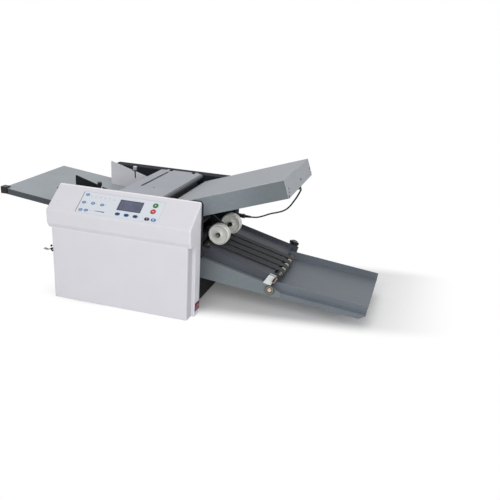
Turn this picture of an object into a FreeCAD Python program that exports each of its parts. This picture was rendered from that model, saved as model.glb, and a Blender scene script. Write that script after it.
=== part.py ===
import FreeCAD, Part
import math
import os
import re
import Sketcher

# Desktop paper folding machine, millimetres, +Z up, the origin on the table under the middle of
# its overall length and depth. Outlines are drawn in the machine's working frame: x = 0 in the
# middle of the operator cover, +X with the paper's travel, y = 0 on the paper's centre line, the
# operator at -Y. Every body is then placed by machine_x and paper_y.

Vector = FreeCAD.Vector
doc = FreeCAD.newDocument("paper_folder")

SIZES = [
    # alias, value, meaning
    ("machine_x", -113, "overall middle to the middle of the operator cover"),
    ("paper_y", 40.5, "overall middle to the paper's centre line"),
    ("foot_height", 12, "rubber feet"),
    ("foot_radius", 15, "rubber feet"),
    ("pan_left", -205, "left end of the base pan"),
    ("frame_left", -253, "left end of the side frames above the base"),
    ("frame_right", 190, "right end of the side frames"),
    ("frame_top", 309, "top edge of the side frames"),
    ("frame_inner", 175, "centre line to a side frame's inner face"),
    ("frame_gauge", 3, "side frame plate"),
    ("sheet", 2, "folded sheet steel"),
    ("thin_sheet", 1.5, "light folded sheet"),
    ("end_wall_top", 84, "top of the base pan's right end wall"),
    ("cover_half", 216, "half length of the operator cover"),
    ("cover_front", -297, "front of the control panel's lip"),
    ("cover_back", -219, "back rim of the operator cover"),
    ("cover_step", -255, "front of the cover's rear legs"),
    ("cover_top", 337, "top edge of the operator cover"),
    ("lip_top", 279, "upper edge of the lip"),
    ("lip_bottom", 240, "where the lip starts to turn in"),
    ("crease", 226.5, "underside of the control panel"),
    ("panel_half", 207, "half length of the lower front panel"),
    ("panel_front", -288, "face of the lower front panel"),
    ("shell", 3, "moulded wall"),
    ("panel_angle", 36.6344, "slope of the control panel"),
    ("rear_depth", 214, "centre line to the rear cover's back"),
    ("table_left", -447, "left edge of the feed table"),
    ("table_top", 281, "table surface at its left edge"),
    ("table_slope", 0.11, "fall of the feed table"),
    ("table_half", 167, "half width of the feed table"),
    ("table_lip", 18, "depth of the table's folded edges"),
    ("table_dip", -60, "where the table turns up to the rollers"),
    ("table_end", 15, "end of the feed table under the first roller"),
    ("guide_y", 110, "centre line to a guide's inner face"),
    ("guide_left", -231, "left end of the side guides"),
    ("guide_right", -100, "right end of the side guides"),
    ("guide_high", 335, "top of a guide at its left end"),
    ("guide_low", 297, "top of a guide at its right end"),
    ("post_x", -147, "guide post"),
    ("post_y", 117, "centre line to a guide post"),
    ("post_radius", 4, "guide post"),
    ("head_left", -73, "left edge of the feed head cover"),
    ("head_right", 75, "right edge of the feed head cover"),
    ("head_top", 313, "top of the feed head cover"),
    ("head_depth", 12, "depth of its folded edges"),
    ("hinge_y", 171, "hinge pin of the feed head cover"),
    ("hinge_z", 311, "hinge pin of the feed head cover"),
    ("plate_angle", 18.9, "rise of the upper fold plate"),
    ("plate_x", 422.2, "top right edge of the upper fold plate"),
    ("plate_z", 409.3, "top right edge of the upper fold plate"),
    ("plate_long", 353, "length of the upper fold plate"),
    ("plate_half", 150.2, "half width of the fold plates"),
    ("plate_deep", 52.6, "thickness of the upper fold plate"),
    ("stop_rest", 175, "paper stop to the plate's end"),
    ("lower_angle", 15, "fall of the lower fold plate"),
    ("lower_x", 50, "top right edge of the lower fold plate"),
    ("lower_z", 206, "top right edge of the lower fold plate"),
    ("lower_long", 345, "length of the lower fold plate"),
    ("lower_deep", 34, "thickness of the lower fold plate"),
    ("nip_x", 44, "nip of the first two fold rollers"),
    ("nip_z", 252, "nip of the first two fold rollers"),
    ("gear_pitch", 38.4, "distance between neighbouring fold rollers"),
    ("gear_teeth", 32, "teeth of each fold roller gear"),
    ("roller_radius", 19, "fold rollers"),
    ("roller_half", 171, "half length of the fold rollers"),
    ("shaft_radius", 7, "fold roller shafts"),
    ("second_nip", -20, "direction from roller two to roller three"),
    ("third_nip", -100, "direction from roller three to roller four"),
    ("gear_front", 181, "front face of the gears"),
    ("gear_wide", 8, "face width of the gears"),
    ("feed_x", -40, "feed roller axis"),
    ("feed_z", 272, "feed roller axis"),
    ("exit_x", 150, "exit roller axis"),
    ("exit_z", 168, "exit roller axis"),
    ("exit_radius", 15, "exit roller tyres"),
    ("motor_x", 60, "motor axis"),
    ("motor_z", 75, "motor axis"),
    ("motor_radius", 40, "motor"),
    ("pulley_radius", 19, "driven pulley"),
    ("pinion_radius", 13, "motor pulley"),
    ("running", 0.05, "radial clearance of a running fit"),
    ("pivot_x", 165, "pivot of the stacker wheel arm"),
    ("pivot_z", 232, "pivot of the stacker wheel arm"),
    ("wheel_x", 216.6, "stacker wheel axis"),
    ("wheel_z", 198.8, "stacker wheel axis"),
    ("wheel_radius", 32, "stacker wheels"),
    ("wheel_wide", 22, "stacker wheels"),
    ("wheel_mid", -5, "middle of the pair of stacker wheels"),
    ("wheel_half", 57, "half distance between the stacker wheels"),
    ("bed_angle", 14.4, "fall of the conveyor"),
    ("bed_x", 217, "datum on the belts' top run"),
    ("bed_z", 165.5, "datum on the belts' top run"),
    ("bed_half", 138, "half width of the conveyor bed"),
    ("bed_start", -30, "drive roller along the conveyor"),
    ("bed_finish", 203, "end roller along the conveyor"),
    ("belt_core", 10, "conveyor roller radius"),
    ("belt_drop", 11.8, "belt surface to the conveyor rollers' axes"),
    ("belt_wide", 22, "conveyor belt"),
    ("belt_pitch", 38, "conveyor belt spacing"),
    ("ear_y", 88, "bearing ears of the conveyor rollers"),
    ("rail_half", 150, "outer faces of the conveyor rails"),
    ("rail_left", 135, "left end of the conveyor rails"),
    ("rail_right", 434, "right end of the conveyor rails"),
    ("rail_knee", 381, "where the rails' top edge turns down"),
    ("slide_angle", 5.6, "fall of the extension"),
    ("slide_x", 434.8, "datum on the extension's ridge"),
    ("slide_z", 79.4, "datum on the extension's ridge"),
    ("slide_half", 132, "outer faces of the extension's walls"),
    ("slide_start", -55, "left end of the extension"),
    ("slide_end", 245, "right end of the extension"),
    ("rail_bend", 194, "where the rails' top edge starts to fall"),
    ("rail_high", 149, "top edge of the rails at the machine"),
    ("knee_high", 107, "top edge of the rails at their knee"),
    ("tip_high", 82, "top edge of the rails at their end"),
    ("rail_low", 64, "bottom edge of the rails at their end"),
    ("spacer_z", 118, "spacers between the rails and the side frames"),
    ("lock_x", 404, "lock knob of the extension"),
    ("lock_z", 88, "lock knob of the extension"),
    ("clamp_along", 188, "clamp knob along the conveyor"),
    ("clamp_y", 144, "clamp knob from the centre line"),
    ("latch_reach", 19, "latch pivot past the lower fold plate's end"),
    ("latch_drop", 15, "latch pivot under the lower fold plate's top"),
    ("inlet_x", -157, "mains inlet"),
    ("inlet_z", 50, "mains inlet"),
    ("rocker_back", 6, "rocker pivot behind the cover's side"),
    ("rocker_z", 38, "rocker pivot"),
    ("socket_y", 195, "cord socket"),
    ("socket_z", 181.5, "cord socket"),
    ("gland_inset", 8.5, "cord gland from the upper fold plate's end"),
    ("gland_y", 8, "cord gland from the centre line"),
    ("cord_radius", 2.5, "fold plate cord"),
]
ALIASES = {alias for alias, _, _ in SIZES}
WORD = re.compile(r"[a-z][a-z_]*")
Y_AXIS = Vector(0, 1, 0)
X_AXIS = Vector(1, 0, 0)
Z_AXIS = Vector(0, 0, 1)


def fill_sheet():
    table = doc.addObject("Spreadsheet::Sheet", "Sizes")
    for row, (alias, value, meaning) in enumerate(SIZES, start=1):
        table.set(f"A{row}", meaning)
        table.set(f"B{row}", str(value))
        table.setAlias(f"B{row}", alias)
    doc.recompute()
    return table


sheet = fill_sheet()
SHEET_VALUES = {alias: float(value) for alias, value, _ in SIZES}
parts = []


# ---- binding to the sheet -------------------------------------------------------------------

def bind(formula):
    """The formula with each alias written as a reference to the sheet."""
    return WORD.sub(lambda word: f"Sizes.{word[0]}" if word[0] in ALIASES else word[0], str(formula))


def value(formula):
    """What a formula comes to, for the start of a sketch."""
    return float(parts[0].evalExpression(bind(formula)))


def drive(item, prop, formula):
    item.setExpression(prop, bind(formula))


def minus(formula):
    return f"0 - ({formula})"


def new_body(label, x="machine_x", y="paper_y", z="0", axis=Y_AXIS, angle="0"):
    """A PartDesign body whose placement is bound to the sheet."""
    item = doc.addObject("PartDesign::Body", label)
    item.Label = label
    item.Placement = FreeCAD.Placement(Vector(), FreeCAD.Rotation(axis, 1))
    parts.append(item)
    for name, formula in (("x", x), ("y", y), ("z", z)):
        drive(item, f"Placement.Base.{name}", formula)
    drive(item, "Placement.Rotation.Angle", angle)
    return item


def at(x, y="0"):
    """Placement formulas of a body drawn about a point of the working frame."""
    return {"x": f"machine_x + {x}", "y": f"paper_y + {y}"}


# ---- sketches -------------------------------------------------------------------------------

def fix_point(sketch, geometry, end, x, y):
    """Dimension one point from the sketch's origin."""
    for kind, formula in (("DistanceX", x), ("DistanceY", y)):
        index = sketch.addConstraint(Sketcher.Constraint(kind, -1, 1, geometry, end, value(formula)))
        if str(formula) != "0":
            drive(sketch, f"Constraints[{index}]", formula)


def add_circle(sketch, x, y, radius):
    centre = Vector(value(x), value(y), 0)
    index = sketch.addGeometry(Part.Circle(centre, Z_AXIS, value(radius)))
    fix_point(sketch, index, 3, x, y)
    size = sketch.addConstraint(Sketcher.Constraint("Radius", index, value(radius)))
    drive(sketch, f"Constraints[{size}]", radius)


def run(start, finish):
    """Formulas of the step from one point to another: its x, its y and its length."""
    x = f"(({finish[0]}) - ({start[0]}))"
    y = f"(({finish[1]}) - ({start[1]}))"
    return x, y, f"hypot({x}; {y})"


def rounding_ends(before, corner, after, radius):
    """Formulas of the two points where a corner's arc meets its sides."""
    back_x, back_y, back = run(corner, before)
    on_x, on_y, ahead = run(corner, after)
    cosine = f"({back_x} * {on_x} + {back_y} * {on_y}) / ({back} * {ahead})"
    reach = f"({radius}) * sqrt((1 + {cosine}) / (1 - {cosine}))"
    return ((f"{corner[0]} + {back_x} / {back} * {reach}", f"{corner[1]} + {back_y} / {back} * {reach}"),
            (f"{corner[0]} + {on_x} / {ahead} * {reach}", f"{corner[1]} + {on_y} / {ahead} * {reach}"))


def add_rounding(sketch, corner, start, finish):
    """Arc that rounds a corner, held by its two ends and its radius."""
    first, last = (Vector(value(spot[0]), value(spot[1]), 0) for spot in (start, finish))
    sharp = Vector(value(corner[0]), value(corner[1]), 0)
    radius = value(corner[2])
    inward = ((first + last) / 2 - sharp).normalize()
    reach = (first - sharp).Length
    middle = sharp + inward * (math.hypot(reach, radius) - radius)
    turns_left = (middle - first).cross(last - middle).z > 0
    entry, leaving = (1, 2) if turns_left else (2, 1)
    index = sketch.addGeometry(Part.Arc(*((first, middle, last) if turns_left else (last, middle, first))))
    fix_point(sketch, index, entry, *start)
    fix_point(sketch, index, leaving, *finish)
    size = sketch.addConstraint(Sketcher.Constraint("Radius", index, radius))
    drive(sketch, f"Constraints[{size}]", corner[2])
    return (index, entry), (index, leaving)


def add_outline(sketch, corners):
    """Closed outline of straight sides; a corner with a third value is rounded to that radius."""
    ends = []
    arcs = []
    for i, corner in enumerate(corners):
        start = finish = corner
        if len(corner) == 3:
            start, finish = rounding_ends(corners[i - 1], corner, corners[(i + 1) % len(corners)], corner[2])
            arcs.append(add_rounding(sketch, corner, start, finish))
        else:
            arcs.append(None)
        ends.append((start, finish))
    sides = []
    for i, (_, spot) in enumerate(ends):
        after = ends[(i + 1) % len(ends)][0]
        first = Vector(value(spot[0]), value(spot[1]), 0)
        last = Vector(value(after[0]), value(after[1]), 0)
        sides.append(sketch.addGeometry(Part.LineSegment(first, last)))
    for i, corner in enumerate(corners):
        if arcs[i]:
            sketch.addConstraint(Sketcher.Constraint("Coincident", sides[i - 1], 2, *arcs[i][0]))
            sketch.addConstraint(Sketcher.Constraint("Coincident", *arcs[i][1], sides[i], 1))
        else:
            sketch.addConstraint(Sketcher.Constraint("Coincident", sides[i - 1], 2, sides[i], 1))
            fix_point(sketch, sides[i], 1, corner[0], corner[1])


def add_loop(sketch, first, first_radius, second, second_radius):
    """Two arcs joined by their outer tangents: a slot, or the run of a belt."""
    start = Vector(value(first[0]), value(first[1]), 0)
    finish = Vector(value(second[0]), value(second[1]), 0)
    large, small = value(first_radius), value(second_radius)
    along = finish - start
    lean = math.acos((large - small) / along.Length)
    heading = math.atan2(along.y, along.x)

    def rim(centre, radius, angle):
        return centre + Vector(math.cos(angle), math.sin(angle), 0) * radius

    up, down = heading + lean, heading - lean
    arcs = [sketch.addGeometry(Part.Arc(rim(start, large, up), rim(start, large, heading + math.pi),
                                        rim(start, large, down))),
            sketch.addGeometry(Part.Arc(rim(finish, small, down), rim(finish, small, heading),
                                        rim(finish, small, up)))]
    lines = [sketch.addGeometry(Part.LineSegment(rim(start, large, down), rim(finish, small, down))),
             sketch.addGeometry(Part.LineSegment(rim(finish, small, up), rim(start, large, up)))]

    def end_at(arc, spot):
        return 1 if (sketch.Geometry[arc].StartPoint - spot).Length < 1e-6 else 2

    joints = ((lines[0], 1, arcs[0], rim(start, large, down)),
              (lines[0], 2, arcs[1], rim(finish, small, down)),
              (lines[1], 1, arcs[1], rim(finish, small, up)),
              (lines[1], 2, arcs[0], rim(start, large, up)))
    for line, end, arc, spot in joints:
        sketch.addConstraint(Sketcher.Constraint("Tangent", line, end, arc, end_at(arc, spot)))
    for arc, spot, radius in ((arcs[0], first, first_radius), (arcs[1], second, second_radius)):
        fix_point(sketch, arc, 3, spot[0], spot[1])
        size = sketch.addConstraint(Sketcher.Constraint("Radius", arc, value(radius)))
        drive(sketch, f"Constraints[{size}]", radius)


def circle(x, y, radius):
    return lambda sketch: add_circle(sketch, x, y, radius)


def outline(*corners):
    return lambda sketch: add_outline(sketch, corners)


def loop(first, first_radius, second, second_radius=None):
    return lambda sketch: add_loop(sketch, first, first_radius, second, second_radius or first_radius)


def rectangle(x_low, x_high, y_low, y_high, radius=None):
    spots = [(x_low, y_low), (x_high, y_low), (x_high, y_high), (x_low, y_high)]
    if radius is not None:
        spots = [spot + (radius,) for spot in spots]
    return outline(*spots)


def new_sketch(item, plane, level, loops, tilt=None):
    """Sketch on one of the body's own origin planes, moved to a level along that plane's normal.

    tilt = (y, z, angle) draws on a plane turned about X instead, through (0, y, z)."""
    sketch = item.newObject("Sketcher::SketchObject", f"{item.Name}_profile")
    origin_plane = [f for f in item.Origin.OriginFeatures if f.Role == f"{plane}_Plane"][0]
    sketch.AttachmentSupport = [(origin_plane, "")]
    sketch.MapMode = "FlatFace"
    if tilt:
        sketch.AttachmentOffset = FreeCAD.Placement(Vector(), FreeCAD.Rotation(X_AXIS, 1))
        drive(sketch, "AttachmentOffset.Base.y", tilt[0])
        drive(sketch, "AttachmentOffset.Base.z", tilt[1])
        drive(sketch, "AttachmentOffset.Rotation.Angle", tilt[2])
    elif str(level) != "0":
        drive(sketch, "AttachmentOffset.Base.z", minus(level) if plane == "XZ" else level)
    for draw in loops:
        draw(sketch)
    return sketch


# ---- features -------------------------------------------------------------------------------

def pad(item, plane, low, high, *loops):
    """Add material between two levels of a plane's own axis."""
    profile = new_sketch(item, plane, high if plane == "XZ" else low, loops)
    feature = item.newObject("PartDesign::Pad", f"{item.Name}_pad")
    feature.Profile = profile
    drive(feature, "Length", f"({high}) - ({low})")
    return feature


def pocket(item, plane, low, high, *loops):
    """Remove material between two levels of a plane's own axis."""
    profile = new_sketch(item, plane, high if plane == "XZ" else low, loops)
    feature = item.newObject("PartDesign::Pocket", f"{item.Name}_pocket")
    feature.Profile = profile
    feature.Reversed = True
    drive(feature, "Length", f"({high}) - ({low})")
    return feature


def revolve(item, *corners):
    """Turn a half section about Y: corners are (radius, y)."""
    profile = new_sketch(item, "XY", "0", [outline(*corners)])
    feature = item.newObject("PartDesign::Revolution", f"{item.Name}_turned")
    feature.Profile = profile
    feature.ReferenceAxis = (profile, ["V_Axis"])
    feature.Angle = 360
    return feature


def dress_edges(item, kind, size, amount, wanted):
    """Fillet or chamfer the edges of the body so far that the test picks."""
    doc.recompute()
    tip = item.Tip
    names = [f"Edge{i}" for i, edge in enumerate(tip.Shape.Edges, start=1) if wanted(edge)]
    feature = item.newObject(f"PartDesign::{kind}", f"{item.Name}_{kind.lower()}")
    feature.Base = (tip, names)
    drive(feature, size, amount)


def round_edges(item, radius, wanted):
    dress_edges(item, "Fillet", "Radius", radius, wanted)


def bevel_edges(item, width, wanted):
    dress_edges(item, "Chamfer", "Size", width, wanted)


def repeat_along(item, feature, axis, length, count):
    """Linear pattern of one feature over a length."""
    pattern = item.newObject("PartDesign::LinearPattern", f"{item.Name}_row")
    pattern.Originals = [feature]
    direction = [f for f in item.Origin.OriginFeatures if f.Role == f"{axis}_Axis"][0]
    pattern.Direction = (direction, [""])
    drive(pattern, "Length", length)
    pattern.Occurrences = count
    item.Tip = pattern
    return pattern


def repeat_round(item, feature, count):
    """Polar pattern of one feature about the body's Y axis."""
    pattern = item.newObject("PartDesign::PolarPattern", f"{item.Name}_ring")
    pattern.Originals = [feature]
    axis = [f for f in item.Origin.OriginFeatures if f.Role == "Y_Axis"][0]
    pattern.Axis = (axis, [""])
    pattern.Angle = 360
    drive(pattern, "Occurrences", count)
    item.Tip = pattern
    return pattern


def both_sides(make, item, inner, outer, *loops):
    """The same pad or pocket at each side of the paper's centre line."""
    make(item, "XZ", inner, outer, *loops)
    make(item, "XZ", minus(outer), minus(inner), *loops)


# ---- shared outlines and places -------------------------------------------------------------

ROLLERS = {
    1: ("nip_x - gear_pitch / 2 * sin(plate_angle)", "nip_z + gear_pitch / 2 * cos(plate_angle)"),
    2: ("nip_x + gear_pitch / 2 * sin(plate_angle)", "nip_z - gear_pitch / 2 * cos(plate_angle)"),
}
ROLLERS[3] = (f"{ROLLERS[2][0]} + gear_pitch * cos(second_nip)",
              f"{ROLLERS[2][1]} + gear_pitch * sin(second_nip)")
ROLLERS[4] = (f"{ROLLERS[3][0]} + gear_pitch * cos(third_nip)",
              f"{ROLLERS[3][1]} + gear_pitch * sin(third_nip)")


def frame_outline(inset="0"):
    """Side view of the frames, the rear cover and, with an inset, the inside of its rim."""
    return outline((f"pan_left + {inset}", f"foot_height + {inset}"),
                   (f"frame_right - {inset}", f"foot_height + {inset}"),
                   (f"frame_right - {inset}", f"frame_top - {inset}"),
                   (f"frame_left + {inset}", f"frame_top - {inset}"),
                   (f"frame_left + {inset}", f"150 + {inset} / 2"),
                   (f"pan_left + {inset}", f"105 + {inset} / 2"))


def table_height(x):
    return f"table_top - table_slope * (({x}) - table_left)"


def sloped_strip(x_low, x_high, height, thickness):
    """Band that follows a straight line of the side view, its top on that line."""
    return outline((x_low, f"{height(x_low)} - {thickness}"), (x_high, f"{height(x_high)} - {thickness}"),
                   (x_high, height(x_high)), (x_low, height(x_low)))


def upper_underside(x):
    return f"plate_z - (plate_x - ({x})) * tan(plate_angle) - plate_deep / cos(plate_angle)"


def lower_underside(x):
    return f"lower_z - (lower_x - ({x})) * tan(lower_angle) - lower_deep / cos(lower_angle)"


# ---- base -----------------------------------------------------------------------------------

def base_pan():
    """Folded sheet tray that carries the side frames, with a wall at each end."""
    item = new_body("base_pan")
    floor = rectangle("pan_left", "frame_right - 2", "0 - frame_inner", "frame_inner")
    pad(item, "XY", "foot_height", "foot_height + sheet", floor)
    pad(item, "YZ", "frame_right - 4", "frame_right - 2",
        rectangle("0 - frame_inner", "frame_inner", "foot_height", "end_wall_top"))
    pad(item, "YZ", "pan_left", "pan_left + 2",
        rectangle("0 - frame_inner", "frame_inner", "foot_height", "foot_height + 30"))
    both_sides(pad, item, "frame_inner - 2", "frame_inner",
               rectangle("pan_left", "frame_right - 2", "foot_height", "foot_height + 16"))


def rubber_feet():
    """Four turned rubber feet under the corners of the pan, one group."""
    feet = []
    for x in (-185, 165):
        for y in (-150, 150):
            foot = doc.addObject("Part::Cone", "foot")
            drive(foot, "Radius1", "foot_radius - 2")
            drive(foot, "Radius2", "foot_radius")
            drive(foot, "Height", "foot_height")
            drive(foot, "Placement.Base.x", f"machine_x + {x}")
            drive(foot, "Placement.Base.y", f"paper_y + {y}")
            feet.append(foot)
    group = doc.addObject("Part::Compound", "rubber_feet")
    group.Label = "rubber_feet"
    group.Links = feet
    parts.append(group)


def shaft_holes(item, low, high):
    """Bearing holes that the two side frames share."""
    holes = [circle(x, z, "shaft_radius + running") for x, z in ROLLERS.values()]
    holes.append(circle("feed_x", "feed_z", "6 + running"))
    holes.append(circle("exit_x", "exit_z", "6 + running"))
    holes.append(circle("pivot_x", "pivot_z", "5 + running"))
    pocket(item, "XZ", low, high, *holes)


def ledges(item, side):
    """Folded ledges on a frame's inner face that carry the table and the two fold plates."""
    strips = (("-240", "-112", lambda x: f"{table_height(x)} - table_lip", "frame_inner - 13"),
              ("112", "frame_right - 3", upper_underside, "plate_half - 12"),
              ("-200", "-110", lower_underside, "plate_half - 12"))
    for x_low, x_high, height, reach in strips:
        strip = sloped_strip(x_low, x_high, height, "3")
        if side == "front":
            pad(item, "XZ", "0 - frame_inner", minus(reach), strip)
        else:
            pad(item, "XZ", reach, "frame_inner", strip)


def side_frame_front():
    """Operator side frame: bored plate, ledges, and the box that closes the operator cover."""
    item = new_body("side_frame_front")
    pad(item, "XZ", "0 - frame_inner - frame_gauge", "0 - frame_inner", frame_outline())
    pad(item, "XZ", "cover_back", "0 - frame_inner - frame_gauge",
        rectangle("-203", "frame_right - 3", "foot_height + 3", "frame_top - 7"),
        rectangle("-201", "frame_right - 5", "foot_height + 5", "frame_top - 9"))
    pad(item, "XZ", "cover_back - 2", "cover_back",
        rectangle("shell - cover_half", "cover_half - shell", "foot_height + shell", "cover_top - 6"))
    ledges(item, "front")
    shaft_holes(item, "0 - frame_inner - frame_gauge", "0 - frame_inner")


def side_frame_rear():
    """Drive side frame: bored plate, ledges, and the two lugs of the feed head's hinge."""
    item = new_body("side_frame_rear")
    pad(item, "XZ", "frame_inner", "frame_inner + frame_gauge", frame_outline())
    ledges(item, "rear")
    for x_low, x_high in (("-44", "-34"), ("36", "46")):
        pad(item, "YZ", x_low, x_high,
            outline(("hinge_y - 3.6", "frame_top - 12"), ("frame_inner", "frame_top - 12"),
                    ("frame_inner", "hinge_z + 4"), ("hinge_y - 3.6", "hinge_z + 4", "3")))
        pocket(item, "YZ", x_low, x_high, circle("hinge_y", "hinge_z", "2.5 + running"))
    shaft_holes(item, "frame_inner", "frame_inner + frame_gauge")
    pocket(item, "XZ", "frame_inner", "frame_inner + frame_gauge", circle("motor_x", "motor_z", "6"))


def rear_cover():
    """Folded cover over the gears, with vent slots, the cord socket's hole and the mains inlet's."""
    item = new_body("rear_cover")
    pad(item, "XZ", "frame_inner + frame_gauge", "rear_depth - sheet",
        frame_outline(), frame_outline("sheet"))
    pad(item, "XZ", "rear_depth - sheet", "rear_depth", frame_outline())
    slot = pocket(item, "XZ", "rear_depth - sheet", "rear_depth",
                  loop(("-140", "200"), "2.5", ("-140", "250")))
    repeat_along(item, slot, "X", "180", 13)
    pocket(item, "XZ", "rear_depth - sheet", "rear_depth",
           rectangle("inlet_x - 24", "inlet_x + 24", "inlet_z - 14", "inlet_z + 14", "2"))
    pocket(item, "YZ", "frame_right - sheet", "frame_right", circle("socket_y", "socket_z", "8.1"))


def mains_inlet():
    """Appliance inlet in the rear cover: flange, body and three blades in an open well."""
    item = new_body("mains_inlet", **at("inlet_x", "rear_depth"), z="inlet_z")
    pad(item, "XZ", "-22", "0", rectangle("-23.9", "23.9", "-13.9", "13.9", "2"))
    pad(item, "XZ", "0", "2", rectangle("-28", "28", "-17", "17", "3"))
    pocket(item, "XZ", "-16", "2", outline(("-12.5", "-9"), ("12.5", "-9"), ("12.5", "5"), ("8", "9.5"),
                                           ("-8", "9.5"), ("-12.5", "5")))
    for x, z in (("-7", "-2"), ("7", "-2"), ("0", "3")):
        pad(item, "XZ", "-16", "-2", rectangle(f"{x} - 1", f"{x} + 1", f"{z} - 2", f"{z} + 2"))


# ---- operator cover -------------------------------------------------------------------------

def is_upright(edge, x_limit, y_limit):
    """A vertical edge further out than x_limit and further forward than y_limit."""
    middle = edge.CenterOfMass
    box = edge.BoundBox
    return (box.ZLength > 5 and box.XLength < 0.01 and box.YLength < 0.01
            and abs(middle.x) > x_limit and middle.y < y_limit)


def control_cover():
    """White moulded upper cover: sloped control panel, rolled lip and two legs down to the base."""
    item = new_body("control_cover")
    section = outline(("cover_back", "crease"), ("panel_front", "crease"),
                      ("cover_front + 1", "lip_bottom", "9"), ("cover_front", "lip_top", "10"),
                      ("cover_back", "cover_top"))
    pad(item, "YZ", "0 - cover_half", "cover_half", section)
    pad(item, "XZ", "cover_step", "cover_back",
        rectangle("0 - cover_half", "cover_half", "foot_height", "crease"))
    round_edges(item, "5", lambda edge: abs(edge.CenterOfMass.x) > value("cover_half") - 1
                and edge.CenterOfMass.y < value("cover_back") - 2 and edge.BoundBox.XLength < 0.01
                and edge.CenterOfMass.z > value("crease") + 2)
    hollow = outline(("cover_back", "crease - 1"), ("panel_front + shell", "crease - 1"),
                     ("panel_front + shell", "crease + shell"),
                     ("cover_front + 1 + shell", "lip_bottom + 2", "6"),
                     ("cover_front + shell", "lip_top - 1.5", "7"),
                     ("cover_back", "cover_top - shell - 0.8"))
    pocket(item, "YZ", "shell - cover_half", "cover_half - shell", hollow)
    pocket(item, "XZ", "cover_step + shell", "cover_back",
           rectangle("shell - cover_half", "cover_half - shell", "foot_height + shell", "crease"))
    pocket(item, "XZ", "cover_step", "cover_step + shell",
           rectangle("0 - panel_half + shell", "panel_half - shell", "foot_height - 1", "crease"))
    window = new_sketch(item, "XY", "0", [rectangle("-121", "114.5", "9.5", "77", "3")],
                        ("cover_front", "lip_top", "panel_angle"))
    opening = item.newObject("PartDesign::Pocket", "control_window")
    opening.Profile = window
    opening.Midplane = True
    opening.Length = 16
    pocket(item, "YZ", "cover_half - shell - 1", "cover_half",
           rectangle("-248", "-224", "rocker_z - 9.5", "rocker_z + 9.5", "1"))
    for low, high in (("-251.5", "-248.3"), ("-223.7", "-221.3")):
        pad(item, "XZ", low, high,
            rectangle("cover_half - 11", "cover_half - shell + 0.5", "rocker_z - 6", "rocker_z + 6"))
        pocket(item, "XZ", low, high, circle("cover_half - rocker_back", "rocker_z", "1.5 + running"))


def front_panel():
    """White lower front panel under the control panel, open at the back."""
    item = new_body("front_panel")
    pad(item, "XZ", "panel_front", "cover_step",
        rectangle("0 - panel_half", "panel_half", "foot_height", "crease"))
    round_edges(item, "6", lambda edge: is_upright(edge, value("panel_half") - 1, value("panel_front") + 1))
    round_edges(item, "2.5", lambda edge: edge.BoundBox.ZMax < value("foot_height") + 0.01
                and edge.CenterOfMass.y < value("cover_step") - 2)
    pocket(item, "XZ", "panel_front + shell", "cover_step",
           rectangle("shell - panel_half", "panel_half - shell", "foot_height + shell", "crease - shell"))


PANEL = {"y": "paper_y + cover_front", "z": "lip_top", "axis": X_AXIS, "angle": "panel_angle"}
# name, place along the panel, place up its slope, half length and half height of each key
KEYS = (("start_key", "94", "63.5", "0", "7.5"), ("stop_key", "94", "43", "0", "7.5"),
        ("reset_key", "85.5", "16.5", "2.5", "4.5"), ("test_key", "104.5", "16.5", "2.5", "4.5"),
        ("soft_key_left", "-2.5", "19", "2.5", "4.5"), ("soft_key_middle", "24", "19", "2.5", "4.5"),
        ("soft_key_right", "50.5", "19", "2.5", "4.5"))


def key_shape(x, slope, half, radius, spare="0"):
    if half == "0":
        return circle(x, slope, f"{radius} + {spare}")
    return loop((f"{x} - {half}", slope), f"{radius} + {spare}", (f"{x} + {half}", slope))


def keypad_overlay():
    """Flexible front sheet of the control panel with the keys' and the display's openings."""
    item = new_body("keypad_overlay", **PANEL)
    holes = [key_shape(*key[1:], spare="0.4") for key in KEYS]
    pad(item, "XY", "0", "1", rectangle("-127", "119", "7", "80", "3"),
        rectangle("-11.3", "59.3", "31.7", "68.3", "1"), *holes)


def display_window():
    """Clear window of the display, held under the overlay by its own flange."""
    item = new_body("display_window", **PANEL)
    pad(item, "XY", "-1.6", "0", rectangle("-14", "62", "29", "71"))
    pad(item, "XY", "0", "0.8", rectangle("-11", "59", "32", "68", "0.7"))


def keys():
    """Push keys: a cap through the overlay and a wider foot that keeps it in."""
    for name, x, slope, half, radius in KEYS:
        item = new_body(name, **PANEL)
        pad(item, "XY", "-2.6", "-0.2", key_shape(x, slope, half, radius, "1.2"))
        pad(item, "XY", "-0.2", "2", key_shape(x, slope, half, radius))


def power_rocker():
    """Rocker of the mains switch, low on the cover's right leg; its far end stands proud."""
    item = new_body("power_rocker", **at("cover_half"), z="rocker_z")
    pad(item, "XZ", "-247.5", "-224.5",
        outline(("-9", "-7.4"), ("-0.5", "-7.4"), ("-1.2", "0"), ("1.8", "7.4"), ("-9", "7.4")))
    pad(item, "XZ", "-251", "-221.6", circle("0 - rocker_back", "0", "1.5"))


# ---- feed table and guides ------------------------------------------------------------------

def feed_table():
    """Sheet metal feed table: sloped top with folded lips, turned up under the first rollers."""
    item = new_body("feed_table")
    top = [("table_left", table_height("table_left")), ("table_dip", table_height("table_dip")),
           ("table_end", "250")]
    under = [(x, f"{z} - thin_sheet") for x, z in reversed(top)]
    pad(item, "XZ", "0 - table_half", "table_half", outline(*under, *top))
    both_sides(pad, item, "table_half - thin_sheet", "table_half",
               sloped_strip("table_left", "-105", table_height, "table_lip"))
    pad(item, "YZ", "table_left", "table_left + thin_sheet",
        rectangle("0 - table_half", "table_half", "table_top - table_lip", "table_top"))
    for side in ("-1", "1"):
        pocket(item, "XY", "200", "300",
               loop(("post_x", f"{side} * 62"), "post_radius + 0.5", ("post_x", f"{side} * 154")))


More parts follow.
